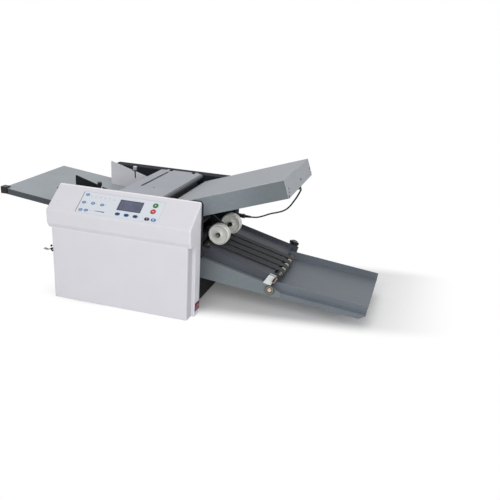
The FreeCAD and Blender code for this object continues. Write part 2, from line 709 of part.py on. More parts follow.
def table_corner_cap():
    """Plastic cap on the table's front left corner."""
    item = new_body("table_corner_cap")
    pad(item, "XY", "table_top - 17", "table_top",
        outline(("table_left - 8", "0 - table_half - 5", "2"),
                ("table_left + 13", "0 - table_half - 5", "2"),
                ("table_left + 13", "0 - table_half"), ("table_left", "0 - table_half"),
                ("table_left", "17 - table_half"), ("table_left - 8", "17 - table_half", "2")))
    pad(item, "XY", "table_top", "table_top + 3.5",
        rectangle("table_left - 8", "table_left + 13", "0 - table_half - 5", "17 - table_half", "2"))


def side_guide(name, side):
    """Paper guide: tapered plate with a foot on the table and the clamp's post."""
    item = new_body(name)
    plate = ("guide_y", "guide_y + 1.5")
    foot = ("guide_y + 1.5", "guide_y + 22")
    if side < 0:
        plate = tuple(minus(level) for level in reversed(plate))
        foot = tuple(minus(level) for level in reversed(foot))

    def surface(x):
        return f"{table_height(x)} + 0.3"

    pad(item, "XZ", *plate,
        outline(("guide_left", surface("guide_left")), ("guide_right", surface("guide_right")),
                ("guide_right", "guide_low", "3"), ("guide_left", "guide_high", "3")))
    pad(item, "XZ", *foot, sloped_strip("guide_left", "guide_right", lambda x: f"{surface(x)} + 1.5", "1.5"))
    pocket(item, "XZ", *plate, rectangle("post_x - 6", "post_x + 6", "286", "340"))
    post = f"{side} * post_y"
    pad(item, "XY", "table_top - 42", "guide_low + 15", circle("post_x", post, "post_radius"))
    pad(item, "XY", "guide_low + 15", "guide_low + 24", circle("post_x", post, "3"))
    pad(item, "XY", "table_top - 41.5", "table_top - 35.7", circle("post_x", post, "8"))


def guide_knob(name, side):
    """Round clamp knob screwed on a guide's post."""
    item = new_body(name, **at("post_x", f"{side} * post_y"), z="guide_low + 15.1")
    pad(item, "XY", "0", "9.6", circle("0", "0", "6.5"), circle("0", "0", "3 + running"))
    pad(item, "XY", "9.6", "12", circle("0", "0", "6.5"))
    bevel_edges(item, "1", lambda edge: edge.CenterOfMass.z > 11.9)


# ---- feed head ------------------------------------------------------------------------------

def feed_head_cover():
    """Hinged cover over the feed roller: folded sheet with a rolled right edge and a long slot."""
    item = new_body("feed_head_cover")
    edge, rear = "0 - frame_inner + 3", "hinge_y - 4"
    skin = "thin_sheet"
    pad(item, "XZ", edge, rear,
        outline(("head_left", "head_top - head_depth"), ("head_right", "head_top - head_depth"),
                ("head_right", "head_top", "head_depth - 1"), ("head_left", "head_top")))
    pocket(item, "XZ", f"{edge} + {skin}", rear,
           outline((f"head_left + {skin}", "head_top - head_depth"),
                   (f"head_right - {skin}", "head_top - head_depth"),
                   (f"head_right - {skin}", f"head_top - {skin}", f"head_depth - 1 - {skin}"),
                   (f"head_left + {skin}", f"head_top - {skin}")))
    pocket(item, "XY", "head_top - 5", "head_top + 1", loop(("-39.5", "-54.5"), "4.5", ("-39.5", "140")))
    pocket(item, "XY", "head_top - 4", "head_top", rectangle("-45.5", "-32.5", "157", "168"),
           rectangle("34.5", "47.5", "157", "168"))
    for x_low, x_high in (("-54", "-44.3"), ("46.3", "56")):
        pad(item, "YZ", x_low, x_high, circle("hinge_y", "hinge_z", "3.6"))
        pad(item, "YZ", x_low, x_high, rectangle("hinge_y - 6", "hinge_y - 2", "hinge_z - 1", "head_top"))
    pad(item, "YZ", "-46", "48", circle("hinge_y", "hinge_z", "2.5"))


def feed_roller():
    """Feed roller: three rubber tyres on a cross shaft."""
    item = new_body("feed_roller", **at("feed_x"), z="feed_z")
    pad(item, "XZ", "0 - frame_inner - 8", "frame_inner + 20", circle("0", "0", "6"))
    tyre = pad(item, "XZ", "-60", "-30", circle("0", "0", "28.5"))
    repeat_along(item, tyre, "Y", "90", 3)


def fold_rollers():
    """Four fold rollers with turned journals."""
    for number, (x, z) in ROLLERS.items():
        item = new_body(f"fold_roller_{number}", **at(x), z=z)
        far = "gear_front + gear_wide + 17" if number == 4 else "gear_front + gear_wide + 3"
        revolve(item, ("0", "0 - frame_inner - 8"), ("shaft_radius", "0 - frame_inner - 8"),
                ("shaft_radius", "0 - roller_half"), ("roller_radius", "0 - roller_half"),
                ("roller_radius", "roller_half"), ("shaft_radius", "roller_half"),
                ("shaft_radius", far), ("0", far))


def fold_gears():
    """Spur gears that tie the four fold rollers together; the fourth carries the driven pulley."""
    half_tooth = "180 / gear_teeth"
    phases = ["plate_angle - 90"]
    phases.append(f"{phases[0]} + 180 + {half_tooth}")
    phases.append(f"2 * second_nip - ({phases[1]}) + 180 + {half_tooth}")
    phases.append(f"2 * third_nip - ({phases[2]}) + 180 + {half_tooth}")
    for (number, (x, z)), phase in zip(ROLLERS.items(), phases):
        item = new_body(f"fold_gear_{number}", **at(x), z=z, angle=minus(phase))
        pad(item, "XZ", "gear_front", "gear_front + gear_wide",
            circle("0", "0", "gear_pitch / 2 - 1.4"), circle("0", "0", "shaft_radius"))
        tooth = pad(item, "XZ", "gear_front", "gear_front + gear_wide",
                    outline(("gear_pitch / 2 - 2", "-1.3"), ("gear_pitch / 2 + 1", "-0.4"),
                            ("gear_pitch / 2 + 1", "0.4"), ("gear_pitch / 2 - 2", "1.3")))
        repeat_round(item, tooth, "gear_teeth")
        if number == 4:
            pad(item, "XZ", "gear_front + gear_wide", "gear_front + gear_wide + 16",
                circle("0", "0", "pulley_radius"), circle("0", "0", "shaft_radius"))


def main_motor():
    """Gear motor bolted behind the rear frame: can, square flange and bore for the pulley's shaft."""
    item = new_body("main_motor", **at("motor_x"), z="motor_z")
    pad(item, "XZ", "50", "frame_inner - 4", circle("0", "0", "motor_radius"))
    flange = ("0 - motor_radius - 4", "motor_radius + 4")
    pad(item, "XZ", "frame_inner - 4", "frame_inner", rectangle(*flange, *flange, "8"))
    pocket(item, "XZ", "frame_inner - 30", "frame_inner", circle("0", "0", "5 + running"))
    bevel_edges(item, "4", lambda edge: edge.CenterOfMass.y < 51)


def motor_pulley():
    """Motor shaft with its toothed belt pulley."""
    item = new_body("motor_pulley", **at("motor_x"), z="motor_z")
    far = "gear_front + gear_wide + 16"
    revolve(item, ("0", "frame_inner - 28"), ("5", "frame_inner - 28"), ("5", "gear_front + 6"),
            ("pinion_radius + 2", "gear_front + 6"), ("pinion_radius + 2", "gear_front + gear_wide"),
            ("pinion_radius", "gear_front + gear_wide"), ("pinion_radius", far), ("0", far))


def drive_belt():
    """Drive belt round the motor pulley and the fourth roller's pulley."""
    item = new_body("drive_belt")
    driven, motor = ROLLERS[4], ("motor_x", "motor_z")
    pad(item, "XZ", "gear_front + gear_wide + 2", "gear_front + gear_wide + 13",
        loop(driven, "pulley_radius + 1.8", motor, "pinion_radius + 1.8"),
        loop(driven, "pulley_radius + 0.3", motor, "pinion_radius + 0.3"))


def exit_roller():
    """Exit roller: four tyres on a cross shaft under the end of the paper path."""
    item = new_body("exit_roller", **at("exit_x"), z="exit_z")
    pad(item, "XZ", "0 - frame_inner - 8", "frame_inner + 8", circle("0", "0", "6"))
    tyre = pad(item, "XZ", "-120", "-98", circle("0", "0", "exit_radius"))
    repeat_along(item, tyre, "Y", "218", 4)


# ---- fold plates ----------------------------------------------------------------------------

UPPER = {"x": "machine_x + plate_x", "z": "plate_z", "angle": "0 - plate_angle"}
GLAND = ("0 - gland_inset", "gland_y")


def fold_plate_top_sheet():
    """Light sheet that covers the upper fold plate and turns down over its right end."""
    item = new_body("fold_plate_top_sheet", **UPPER)
    pad(item, "XZ", "0 - plate_half", "plate_half",
        outline(("0 - plate_long", "0 - thin_sheet"), ("0 - thin_sheet", "0 - thin_sheet"),
                ("0 - thin_sheet", "0 - plate_deep"), ("0", "0 - plate_deep"), ("0", "0"),
                ("0 - plate_long", "0")))
    pocket(item, "YZ", "0 - thin_sheet", "0", circle("11", "-35", "4"))


def fold_plate_frame():
    """Upper fold plate's body: slotted paper bed between two side walls."""
    item = new_body("fold_plate_frame", **UPPER)
    long_side = rectangle("0 - plate_long", "0 - thin_sheet", "0 - plate_deep", "0 - thin_sheet")
    both_sides(pad, item, "plate_half - thin_sheet", "plate_half", long_side)
    bed = rectangle("0 - plate_long", "0 - thin_sheet", "0 - plate_half", "plate_half")
    pad(item, "XY", "0 - plate_deep", "2 - plate_deep", bed)
    for y in ("-100", "-50", "50", "100"):
        pocket(item, "XY", "0 - plate_deep", "2 - plate_deep", loop(("-330", y), "4", ("-40", y)))
    pocket(item, "XY", "0 - plate_deep", "2 - plate_deep", circle(*GLAND, "5.2"))


def paper_stop():
    """Cross bar that the sheet runs against inside the upper fold plate."""
    item = new_body("paper_stop", **UPPER)
    half = "plate_half - thin_sheet - 0.3"
    pad(item, "XY", "2.3 - plate_deep", "14 - plate_deep",
        rectangle("0 - stop_rest", "4 - stop_rest", minus(half), half))
    pad(item, "XY", "14 - plate_deep", "22 - plate_deep",
        rectangle("0 - stop_rest", "22 - stop_rest", "-30", "30", "3"))


def cord_gland():
    """Rubber boot through which the cord enters the underside of the upper fold plate."""
    item = new_body("cord_gland", **UPPER)
    pad(item, "XY", "2 - plate_deep", "5 - plate_deep", circle(*GLAND, "6.4"))
    pad(item, "XY", "-10 - plate_deep", "2 - plate_deep", circle(*GLAND, "5"))


LOWER = {"x": "machine_x + lower_x", "z": "lower_z", "angle": "0 - lower_angle"}
LATCH = ("0 - lower_long - latch_reach", "0 - latch_drop")


def lower_fold_plate():
    """Lower fold plate, falling to the left under the feed table, with ears for its latch."""
    item = new_body("lower_fold_plate", **LOWER)
    pad(item, "XZ", "0 - plate_half", "plate_half",
        rectangle("0 - lower_long", "0", "0 - lower_deep", "0"),
        rectangle("2 - lower_long", "0 - 1.5", "2 - lower_deep", "-2"))
    both_sides(pad, item, "plate_half - thin_sheet", "plate_half",
               rectangle("0 - lower_long", "0", "0 - lower_deep", "0"))
    pocket(item, "XZ", "2 - plate_half", "plate_half - 2",
           rectangle("-2", "1", "6 - lower_deep", "-6"))
    for inner in ("plate_half - 2", "plate_half - 16"):
        pad(item, "XZ", minus(f"{inner} + 2"), minus(inner),
            outline(("1 - lower_long", "-26"), ("1 - lower_long", "-4"),
                    (f"{LATCH[0]} - 7", f"{LATCH[1]} + 5", "4"),
                    (f"{LATCH[0]} - 7", f"{LATCH[1]} - 5", "4")))
        pocket(item, "XZ", minus(f"{inner} + 2"), minus(inner), circle(*LATCH, "2 + running"))


def plate_latch():
    """Spring steel latch of the lower fold plate: hub, pin and a curved finger tab."""
    item = new_body("plate_latch", **LOWER)
    pivot, level = LATCH
    pad(item, "XZ", "2.3 - plate_half", "13.7 - plate_half", circle(*LATCH, "5"))
    pad(item, "XZ", "0 - plate_half", "16 - plate_half", circle(*LATCH, "2"))
    pad(item, "XZ", "3 - plate_half", "13 - plate_half",
        outline((pivot, f"{level} + 3"), (f"{pivot} - 25", f"{level} + 2"),
                (f"{pivot} - 35", f"{level} + 7"), (f"{pivot} - 36", f"{level} + 5.4"),
                (f"{pivot} - 25", level), (pivot, level)))


# ---- cord -----------------------------------------------------------------------------------

PLUG = {"x": "machine_x + frame_right", "y": "paper_y + socket_y", "z": "socket_z", "axis": Z_AXIS,
        "angle": "-90"}
# the cord's corner points in the working frame, from the plug's boot to the fold plate's boot
CORD_ROUTE = ((238, 195, 181.5), (256, 195, 181.5), (283, 185, 194), (313, 165, 212.5), (344, 139, 228),
              (371, 110, 246), (393, 79, 270), (411, 48, 298), (425, 24, 320), (437.7, 8, 346))


def cord_socket():
    """Round socket in the right edge of the rear cover."""
    item = new_body("cord_socket", **PLUG)
    revolve(item, ("0", "-12"), ("8", "-12"), ("8", "0"), ("10", "0"), ("10", "2"), ("0", "2"))


def cord_plug():
    """Round plug with grip rings and a tapered strain relief."""
    item = new_body("cord_plug", **PLUG)
    revolve(item, ("0", "2"), ("7.5", "2"), ("7.5", "12"), ("6.5", "13"), ("6.5", "17"), ("7.5", "18"),
            ("7.5", "26"), ("5", "28"), ("4.6", "32"), ("3.4", "48"), ("0", "48"))


def rounded_path(points):
    """Straight runs joined by arcs as large as their runs allow; prints the radii."""
    edges = []
    radii = []
    start = points[0]
    for before, corner, after in zip(points, points[1:], points[2:]):
        back, ahead = before - corner, after - corner
        reach = 0.45 * min(back.Length, ahead.Length)
        half_turn = (math.pi - back.getAngle(ahead)) / 2
        radius = reach / math.tan(half_turn)
        radii.append(round(radius, 1))
        first = corner + back.normalize() * reach
        last = corner + ahead.normalize() * reach
        middle = corner + (back + ahead).normalize() * (radius / math.cos(half_turn) - radius)
        edges.append(Part.LineSegment(start, first).toShape())
        edges.append(Part.Arc(first, middle, last).toShape())
        start = last
    edges.append(Part.LineSegment(start, points[-1]).toShape())
    print("cord radii", radii)
    return Part.Wire(edges)


def plate_cord():
    """Cord from the rear cover's socket up to the fold plate, one tube along the route."""
    shift = Vector(SHEET_VALUES["machine_x"], SHEET_VALUES["paper_y"], 0)
    path = rounded_path([Vector(*point) + shift for point in CORD_ROUTE])
    radius = SHEET_VALUES["cord_radius"]
    start = path.Edges[0]
    ring = Part.Wire([Part.makeCircle(radius, start.valueAt(start.FirstParameter),
                                      start.tangentAt(start.FirstParameter))])
    tube = path.makePipeShell([ring], True, True)
    ideal = math.pi * radius ** 2 * path.Length
    print(f"cord length {path.Length:.1f}, volume ratio {tube.Volume / ideal:.4f}")
    item = doc.addObject("Part::Feature", "plate_cord")
    item.Label = "plate_cord"
    item.Shape = tube
    parts.append(item)


# ---- stacker wheels -------------------------------------------------------------------------

def wheel_arm():
    """Swinging arm: cross shaft in the frames, arm, and the stacker wheels' axle with its collars."""
    item = new_body("wheel_arm")
    pad(item, "XZ", "0 - frame_inner - 6", "frame_inner + 6", circle("pivot_x", "pivot_z", "5"))
    pad(item, "XZ", "wheel_mid - 5", "wheel_mid + 5",
        loop(("pivot_x", "pivot_z"), "10", ("wheel_x", "wheel_z"), "8"))
    outer = "(wheel_half + wheel_wide / 2 + 0.5)"
    inner = "(wheel_half - wheel_wide / 2 - 0.5)"
    pad(item, "XZ", f"wheel_mid - {outer} - 7", f"wheel_mid + {outer} + 7",
        circle("wheel_x", "wheel_z", "4"))
    for low, high in ((f"wheel_mid - {outer} - 5", f"wheel_mid - {outer}"),
                      (f"wheel_mid - {inner}", f"wheel_mid - {inner} + 5"),
                      (f"wheel_mid + {inner} - 5", f"wheel_mid + {inner}"),
                      (f"wheel_mid + {outer}", f"wheel_mid + {outer} + 5")):
        pad(item, "XZ", low, high, circle("wheel_x", "wheel_z", "6.5"))


def stacker_wheel(name, side):
    """Nylon wheel with a bevelled tread, dished faces and a bored hub."""
    item = new_body(name, **at("wheel_x", f"wheel_mid + {side} * wheel_half"), z="wheel_z")
    half = "wheel_wide / 2"
    bore = "4 + running"
    side_view = [(bore, half), ("8", half), ("11", "4"), ("25", "5"), ("28", half),
                 ("wheel_radius - 2", half), ("wheel_radius", f"{half} - 2.5")]
    mirrored = [(radius, minus(level)) for radius, level in reversed(side_view)]
    revolve(item, *side_view, *mirrored)


# ---- conveyor -------------------------------------------------------------------------------

BED = {"x": "machine_x + bed_x", "z": "bed_z", "angle": "bed_angle"}
SLIDE = {"x": "machine_x + slide_x", "z": "slide_z", "angle": "slide_angle"}


def conveyor_bed():
    """Trough of the conveyor: floor between the belt runs, side walls, and the rollers' ears."""
    item = new_body("conveyor_bed", **BED)
    pad(item, "XY", "-5", "-3.5",
        rectangle("bed_start + 14", "bed_finish - 15", "0 - bed_half", "bed_half"))
    both_sides(pad, item, "bed_half - thin_sheet", "bed_half",
               outline(("bed_start - 8", "-26"), ("bed_finish - 8", "-26"), ("bed_finish + 4", "-14"),
                       ("bed_finish + 4", "8.2"), ("bed_start - 8", "8.2")))
    pad(item, "XY", "8.2 - thin_sheet", "8.2",
        rectangle("clamp_along - 14", "clamp_along + 14", "bed_half - 1", "clamp_y + 8", "3"))
    pocket(item, "XY", "8.2 - thin_sheet", "8.2", circle("clamp_along", "clamp_y", "4 + running"))
    for x, toward in (("bed_start", "bed_start + 22"), ("bed_finish", "bed_finish - 22")):
        low, high = (f"{x} - 8", toward) if toward.endswith("+ 22") else (toward, f"{x} + 8")
        both_sides(pad, item, "ear_y", "ear_y + 2",
                   rectangle(low, high, "-19", "-3.5"), circle(x, "0 - belt_drop", "4 + running"))


def conveyor_rollers():
    """Drive and end rollers of the conveyor belts."""
    for name, along in (("belt_drive_roller", "bed_start"), ("belt_end_roller", "bed_finish")):
        item = new_body(name, **at(f"bed_x + {along} * cos(bed_angle) - belt_drop * sin(bed_angle)"),
                        z=f"bed_z - {along} * sin(bed_angle) - belt_drop * cos(bed_angle)")
        revolve(item, ("0", "0 - ear_y - 4"), ("4", "0 - ear_y - 4"), ("4", "-74"), ("belt_core", "-74"),
                ("belt_core", "74"), ("4", "74"), ("4", "ear_y + 4"), ("0", "ear_y + 4"))


def conveyor_belts():
    """Four flat belts round the two rollers."""
    item = new_body("conveyor_belts", **BED)
    ends = (("bed_start", "0 - belt_drop"), ("bed_finish", "0 - belt_drop"))
    belt = pad(item, "XZ", "-1.5 * belt_pitch - belt_wide / 2", "-1.5 * belt_pitch + belt_wide / 2",
               loop(ends[0], "belt_drop", ends[1]), loop(ends[0], "belt_core + 0.3", ends[1]))
    repeat_along(item, belt, "Y", "3 * belt_pitch", 4)


def conveyor_rail(name, side):
    """Tapered side rail of the conveyor: folded channel bolted to a side frame by two spacers."""
    item = new_body(name)
    slope = "tan(slide_angle)"
    outer, skin = "rail_half", "rail_half - thin_sheet"

    def underside(x):
        return f"rail_low + (rail_right - {x}) * {slope}"

    web = outline(("rail_left", underside("rail_left")), ("rail_right", "rail_low"),
                  ("rail_right", "tip_high"), ("rail_knee", "knee_high"), ("rail_bend", "rail_high"),
                  ("rail_left", "rail_high"))
    top = outline(("rail_bend", "rail_high"), ("rail_knee", "knee_high"),
                  ("rail_knee", "knee_high - thin_sheet"), ("rail_bend", "rail_high - thin_sheet"))
    bottom = outline(("rail_bend", underside("rail_bend")), ("rail_right", "rail_low"),
                     ("rail_right", "rail_low + 1.2"), ("rail_bend", f"{underside('rail_bend')} + 1.2"))

    def build(make, inner, outer_level, shape):
        if side > 0:
            make(item, "XZ", inner, outer_level, shape)
        else:
            make(item, "XZ", minus(outer_level), minus(inner), shape)

    build(pad, skin, outer, web)
    build(pad, "bed_half", skin, top)
    build(pad, "bed_half + 2", skin, bottom)
    for x in ("rail_left + 15", "rail_left + 41"):
        build(pad, outer, "frame_inner", circle(x, "spacer_z", "8"))
    if side < 0:
        build(pocket, skin, outer, circle("lock_x", "lock_z", "4 + running"))


def conveyor_extension():
    """Sliding extension: floor, two walls, and a folded ledge and lip along each side."""
    item = new_body("conveyor_extension", **SLIDE)
    pad(item, "XY", "-1.5", "0",
        rectangle("slide_start", "slide_end", "-148", "148"))
    both_sides(pad, item, "slide_half - thin_sheet", "slide_half",
               outline(("slide_start", "0"), ("slide_end", "0"), ("slide_end", "22"), ("slide_start", "25")))
    both_sides(pad, item, "146.5", "148",
               outline(("slide_start", "-14"), ("slide_end - 18", "-14"), ("slide_end", "-1.5"),
                       ("slide_start", "-1.5")))


def extension_bracket():
    """Bright bracket that hooks over the conveyor's front wall and backs the lock knob."""
    item = new_body("extension_bracket", **BED)
    hook = outline(("-152", "-44"), ("-150", "-44"), ("-150", "-15"), ("-138.5", "8.4"), ("-127", "8.4"),
                   ("-127", "10.4"), ("-139.8", "10.4"), ("-152", "-14.4"))
    pad(item, "YZ", "169", "196", hook)
    pad(item, "XZ", "-152", "-150", rectangle("196", "214", "-44", "-18", "2"))
    pocket(item, "XZ", "-152", "-150", circle("200.4", "-28.6", "4 + running"))


def extension_lock_knob():
    """Round lock knob on the front rail; its screw presses on the extension's lip."""
    item = new_body("extension_lock_knob", **at("lock_x", "0 - 152"), z="lock_z")
    revolve(item, ("0", "-17"), ("8", "-17"), ("9.5", "-15.5"), ("11", "-12"), ("11", "-4.5"), ("8", "-3"),
            ("15", "-3"), ("15", "0"), ("4", "0"), ("4", "19.6"), ("0", "19.6"))


def extension_clamp_knob():
    """Winged clamp knob over the rear rail of the conveyor, its screw down through the rail."""
    item = new_body("extension_clamp_knob", **BED)
    place = ("clamp_along", "clamp_y")
    pad(item, "XY", "9", "20", circle(*place, "10"))
    wing = "12"
    pad(item, "XY", "11", "18",
        loop((f"clamp_along - {wing}", "clamp_y"), "3.5", (f"clamp_along + {wing}", "clamp_y")))
    pad(item, "XY", "8.25", "9", circle(*place, "5.5"))
    pad(item, "XY", "-35.5", "8.25", circle(*place, "4"))


# ---- build ----------------------------------------------------------------------------------

def build():
    base_pan()
    rubber_feet()
    side_frame_front()
    side_frame_rear()
    rear_cover()
    mains_inlet()
    control_cover()
    front_panel()
    keypad_overlay()
    display_window()
    keys()
    power_rocker()
    feed_table()
    table_corner_cap()
    feed_head_cover()
    feed_roller()
    fold_rollers()
    fold_gears()
    main_motor()
    motor_pulley()
    drive_belt()
    exit_roller()
    fold_plate_top_sheet()
    fold_plate_frame()
    paper_stop()
    cord_gland()
    lower_fold_plate()
    plate_latch()
    cord_socket()
    cord_plug()
    plate_cord()
    wheel_arm()
    conveyor_bed()
    conveyor_rollers()
    conveyor_belts()
    conveyor_extension()
    extension_bracket()
    extension_lock_knob()
    extension_clamp_knob()
    for end, side in (("front", -1), ("rear", 1)):
        side_guide(f"side_guide_{end}", side)
        guide_knob(f"guide_knob_{end}", side)
        stacker_wheel(f"stacker_wheel_{end}", side)
        conveyor_rail(f"conveyor_rail_{end}", side)
    doc.recompute()


def check():
    """Stop on any object that failed to recompute and on any part without a sound solid."""
    for item in doc.Objects:
        if {"Invalid", "Error"} & set(item.State):
            raise RuntimeError(f"{item.Label} failed: {item.State}")
    for item in parts:
        if item.Shape.isNull() or not item.Shape.isValid() or not item.Shape.Solids:
            raise RuntimeError(f"{item.Label} has no sound solid")


def export():
    os.makedirs("parts", exist_ok=True)
    for item in parts:
        item.Shape.exportStep(f"parts/{item.Label}.step")
        print(f"{item.Label}: {len(item.Shape.Solids)} solids, {item.Shape.Volume / 1000:.1f} cm3")


build()
check()
export()
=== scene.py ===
import bmesh
import bpy
import math
from mathutils import Matrix, Vector


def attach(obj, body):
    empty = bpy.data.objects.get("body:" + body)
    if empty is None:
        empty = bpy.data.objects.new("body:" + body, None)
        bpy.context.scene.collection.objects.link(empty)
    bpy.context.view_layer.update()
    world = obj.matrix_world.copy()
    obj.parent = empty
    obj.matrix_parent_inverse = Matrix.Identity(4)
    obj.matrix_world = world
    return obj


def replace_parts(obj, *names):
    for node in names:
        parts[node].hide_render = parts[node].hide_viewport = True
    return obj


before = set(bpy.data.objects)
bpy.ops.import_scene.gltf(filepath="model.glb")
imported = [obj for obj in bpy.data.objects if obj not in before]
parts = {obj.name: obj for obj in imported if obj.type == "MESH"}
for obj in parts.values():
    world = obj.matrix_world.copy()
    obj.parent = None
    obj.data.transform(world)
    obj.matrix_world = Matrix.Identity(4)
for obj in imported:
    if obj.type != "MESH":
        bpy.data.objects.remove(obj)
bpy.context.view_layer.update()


# ---------------------------------------------------------------------------------------------
# Base pan, side frames, rear cover and lower fold plate: folded and bored sheet steel. Its powder
# coat, plain black on the pan and blue-black on the rest, has a fine orange peel, a slight mottling
# and a painted highlight, a paler line along the edges.

def stoved(red, green, blue):
    """A screen colour, 0 to 255, as the linear colour that a shader wants."""
    return tuple(c / 3294.6 if c < 11 else ((c / 255 + 0.055) / 1.055) ** 2.4
                 for c in (red, green, blue)) + (1.0,)


class Tone:
    """A socket of a finish while it is mixed; arithmetic on it adds Math nodes."""

    def __init__(self, tree, socket=None):
        self.tree, self.socket = tree, socket

    def node(self, kind, settings=None, inputs=None, output=0):
        """Any node: its settings and ramp stops first, then the values or links of its sockets."""
        made = self.tree.nodes.new(kind)
        for name, setting in (settings or {}).items():
            if name != "stops":
                setattr(made, name, setting)
                continue
            stops = made.color_ramp.elements
            stops.remove(stops[1])
            stops[0].position, stops[0].color = setting[0]
            for position, colour in setting[1:]:
                stops.new(position).color = colour
        for name, given in (inputs or {}).items():
            if isinstance(given, Tone):
                self.tree.links.new(given.socket, made.inputs[name])
            else:
                made.inputs[name].default_value = given
        return Tone(self.tree, made.outputs[output])

    def maths(self, operation, *values):
        """A Math node on numbers or tones."""
        return self.node("ShaderNodeMath", {"operation": operation}, dict(enumerate(values)))

    def vector(self, operation, *values, output=0):
        """A Vector Math node; output 1 is its number, such as a length."""
        return self.node("ShaderNodeVectorMath", {"operation": operation},
                         dict(enumerate(values)), output)

    def __add__(self, other):
        return self.maths("ADD", self, other)

    def __radd__(self, other):
        return self.maths("ADD", other, self)

    def __sub__(self, other):
        return self.maths("SUBTRACT", self, other)

    def __rsub__(self, other):
        return self.maths("SUBTRACT", other, self)

    def __mul__(self, other):
        return self.maths("MULTIPLY", self, other)

    def __rmul__(self, other):
        return self.maths("MULTIPLY", other, self)

    def noise(self, scale, detail):
        """Cloudy pattern over the part, at so many cells to the metre."""
        return self.node("ShaderNodeTexNoise", {}, {"Vector": self, "Scale": scale, "Detail": detail})

    def between(self, low, high):
        """Soft contrast: 0 below low, 1 above high."""
        return self.node("ShaderNodeMapRange", {"interpolation_type": "SMOOTHSTEP"},
                         {"Value": self, "From Min": low, "From Max": high})

    def blend(self, low, high):
        """Two colours mixed by this tone."""
        return self.node("ShaderNodeMix", {"data_type": "RGBA"}, {0: self, 6: low, 7: high}, output=2)

    def relief(self, strength, distance):
        """Bump with this tone as its height."""
        return self.node("ShaderNodeBump", {},
                         {"Strength": strength, "Distance": distance, "Height": self})

    def axis(self, output):
        """One coordinate of a place, in metres: 0 along the machine, 1 front to back, 2 up."""
        return self.node("ShaderNodeSeparateXYZ", {}, {0: self}, output)

    def edges(self, width):
        """1 on the edges of the part, falling to 0 over a width in metres."""
        rounded_off = self.node("ShaderNodeBevel", {"samples": 4}, {"Radius": width})
        faced = self.node("ShaderNodeNewGeometry", output="Normal")
        flat = rounded_off.vector("DOT_PRODUCT", rounded_off, faced, output=1)
        return (1 - flat).between(0.02, 0.3)


def finish(name, mixed, **fixed):
    """A material: fixed values go straight on the shader, and mixed gives what varies over it."""
    material = bpy.data.materials.new(name)
    material.use_nodes = True
    shader = material.node_tree.nodes["Principled BSDF"]
    for socket, given in fixed.items():
        shader.inputs[socket.replace("_", " ")].default_value = given
    place = Tone(material.node_tree).node("ShaderNodeTexCoord", output="Object")
    for socket, tone in mixed(place).items():
        material.node_tree.links.new(tone.socket, shader.inputs[socket])
    return material


def shade(colour, by):
    """The same colour lighter or darker."""
    return tuple(min(1.0, c * by) for c in colour[:3]) + (1.0,)


def powder_coat(name, colour, gloss=0.42, shine=0.45, edge=2.2, marks_and_painted_light=None):
    """Stoved powder: faint mottling, an orange-peel skin, and a painted highlight along the edges.

    edge is how much paler that painted highlight is. The last argument takes the place and the coat's
    colour, and gives the colour with its marks: real ones, and painted highlights and shade."""
    def mixed(place):
        cloud = place.noise(9, 3)
        speck = place.noise(240, 2)
        mottling = (cloud * 0.6 + speck * 0.4).between(0.3, 0.7)
        body = mottling.blend(shade(colour, 0.92), shade(colour, 1.08))
        if marks_and_painted_light:
            body = marks_and_painted_light(place, body)
        # Painted highlight: the coat is made paler along the part's edges.
        edge_highlight = place.edges(0.0011) * 0.45
        return {"Base Color": edge_highlight.blend(body, shade(colour, edge)),
                "Roughness": gloss + 0.12 * cloud + 0.05 * speck,
                "Normal": place.noise(700, 2).relief(0.1, 0.0004)}
    return finish(name, mixed, Specular_IOR_Level=shine)


def dress(material, *names):
    """Give CAD nodes their finish."""
    for name in names:
        for surface in parts[name].material_slots:
            surface.material = material


charcoal = powder_coat("charcoal_coat", stoved(38, 41, 49), gloss=0.6, shine=0.1, edge=1.2)
black_coat = powder_coat("black_coat", stoved(24, 25, 28), gloss=0.5, shine=0.25)
dress(charcoal, "side_frame_front", "side_frame_rear", "rear_cover", "lower_fold_plate")
dress(black_coat, "base_pan")


# ---------------------------------------------------------------------------------------------
# Feet, mains inlet and the screws of the rear cover: turned rubber feet, a black moulded inlet, and
# zinc plated pan-head screws that hold the cover to the frames.

def moulded(name, colour, gloss=0.45, grain=0.12, edge=0.0, marks_and_painted_light=None, **fixed):
    """Injection moulding: even colour, a spark-eroded grain, shinier patches, painted edge highlights.
    """
    def mixed(place):
        handling = place.noise(22, 3)
        grains = place.noise(1800, 2)
        body = handling.between(0.3, 0.7).blend(shade(colour, 0.992), shade(colour, 1.008))
        # Painted highlight: the colour is made paler along the edges.
        if edge:
            body = (place.edges(edge) * 0.6).blend(body, shade(colour, 1.35))
        if marks_and_painted_light:
            body = marks_and_painted_light(place, body)
        return {"Base Color": body,
                "Roughness": gloss + 0.08 * grains - 0.06 * handling,
                "Normal": grains.relief(grain, 0.0002)}
    return finish(name, mixed, **fixed)


def rubber(name, colour):
    """Moulded rubber: dull, with a dusty bloom."""
    def mixed(place):
        bloom = place.noise(60, 4)
        return {"Base Color": bloom.between(0.45, 0.8).blend(colour, shade(colour, 1.7)),
                "Roughness": 0.66 + 0.2 * bloom,
                "Normal": place.noise(900, 3).relief(0.2, 0.0003)}
    return finish(name, mixed)


def worked_metal(name, colour, gloss=0.28, along=(1, 1, 1), metal=1.0):
    """Plated, ground or turned metal: fine lines one way, a little dulled in patches."""
    def mixed(place):
        lines = place.vector("MULTIPLY", place, along).noise(700, 3)
        patch = place.noise(40, 2)
        return {"Base Color": lines.blend(shade(colour, 0.86), shade(colour, 1.08)),
                "Roughness": gloss + 0.12 * lines + 0.1 * patch,
                "Normal": lines.relief(0.06, 0.0002)}
    return finish(name, mixed, Metallic=metal)


CREASE = 35  # degrees between two faces from which they meet in a sharp edge


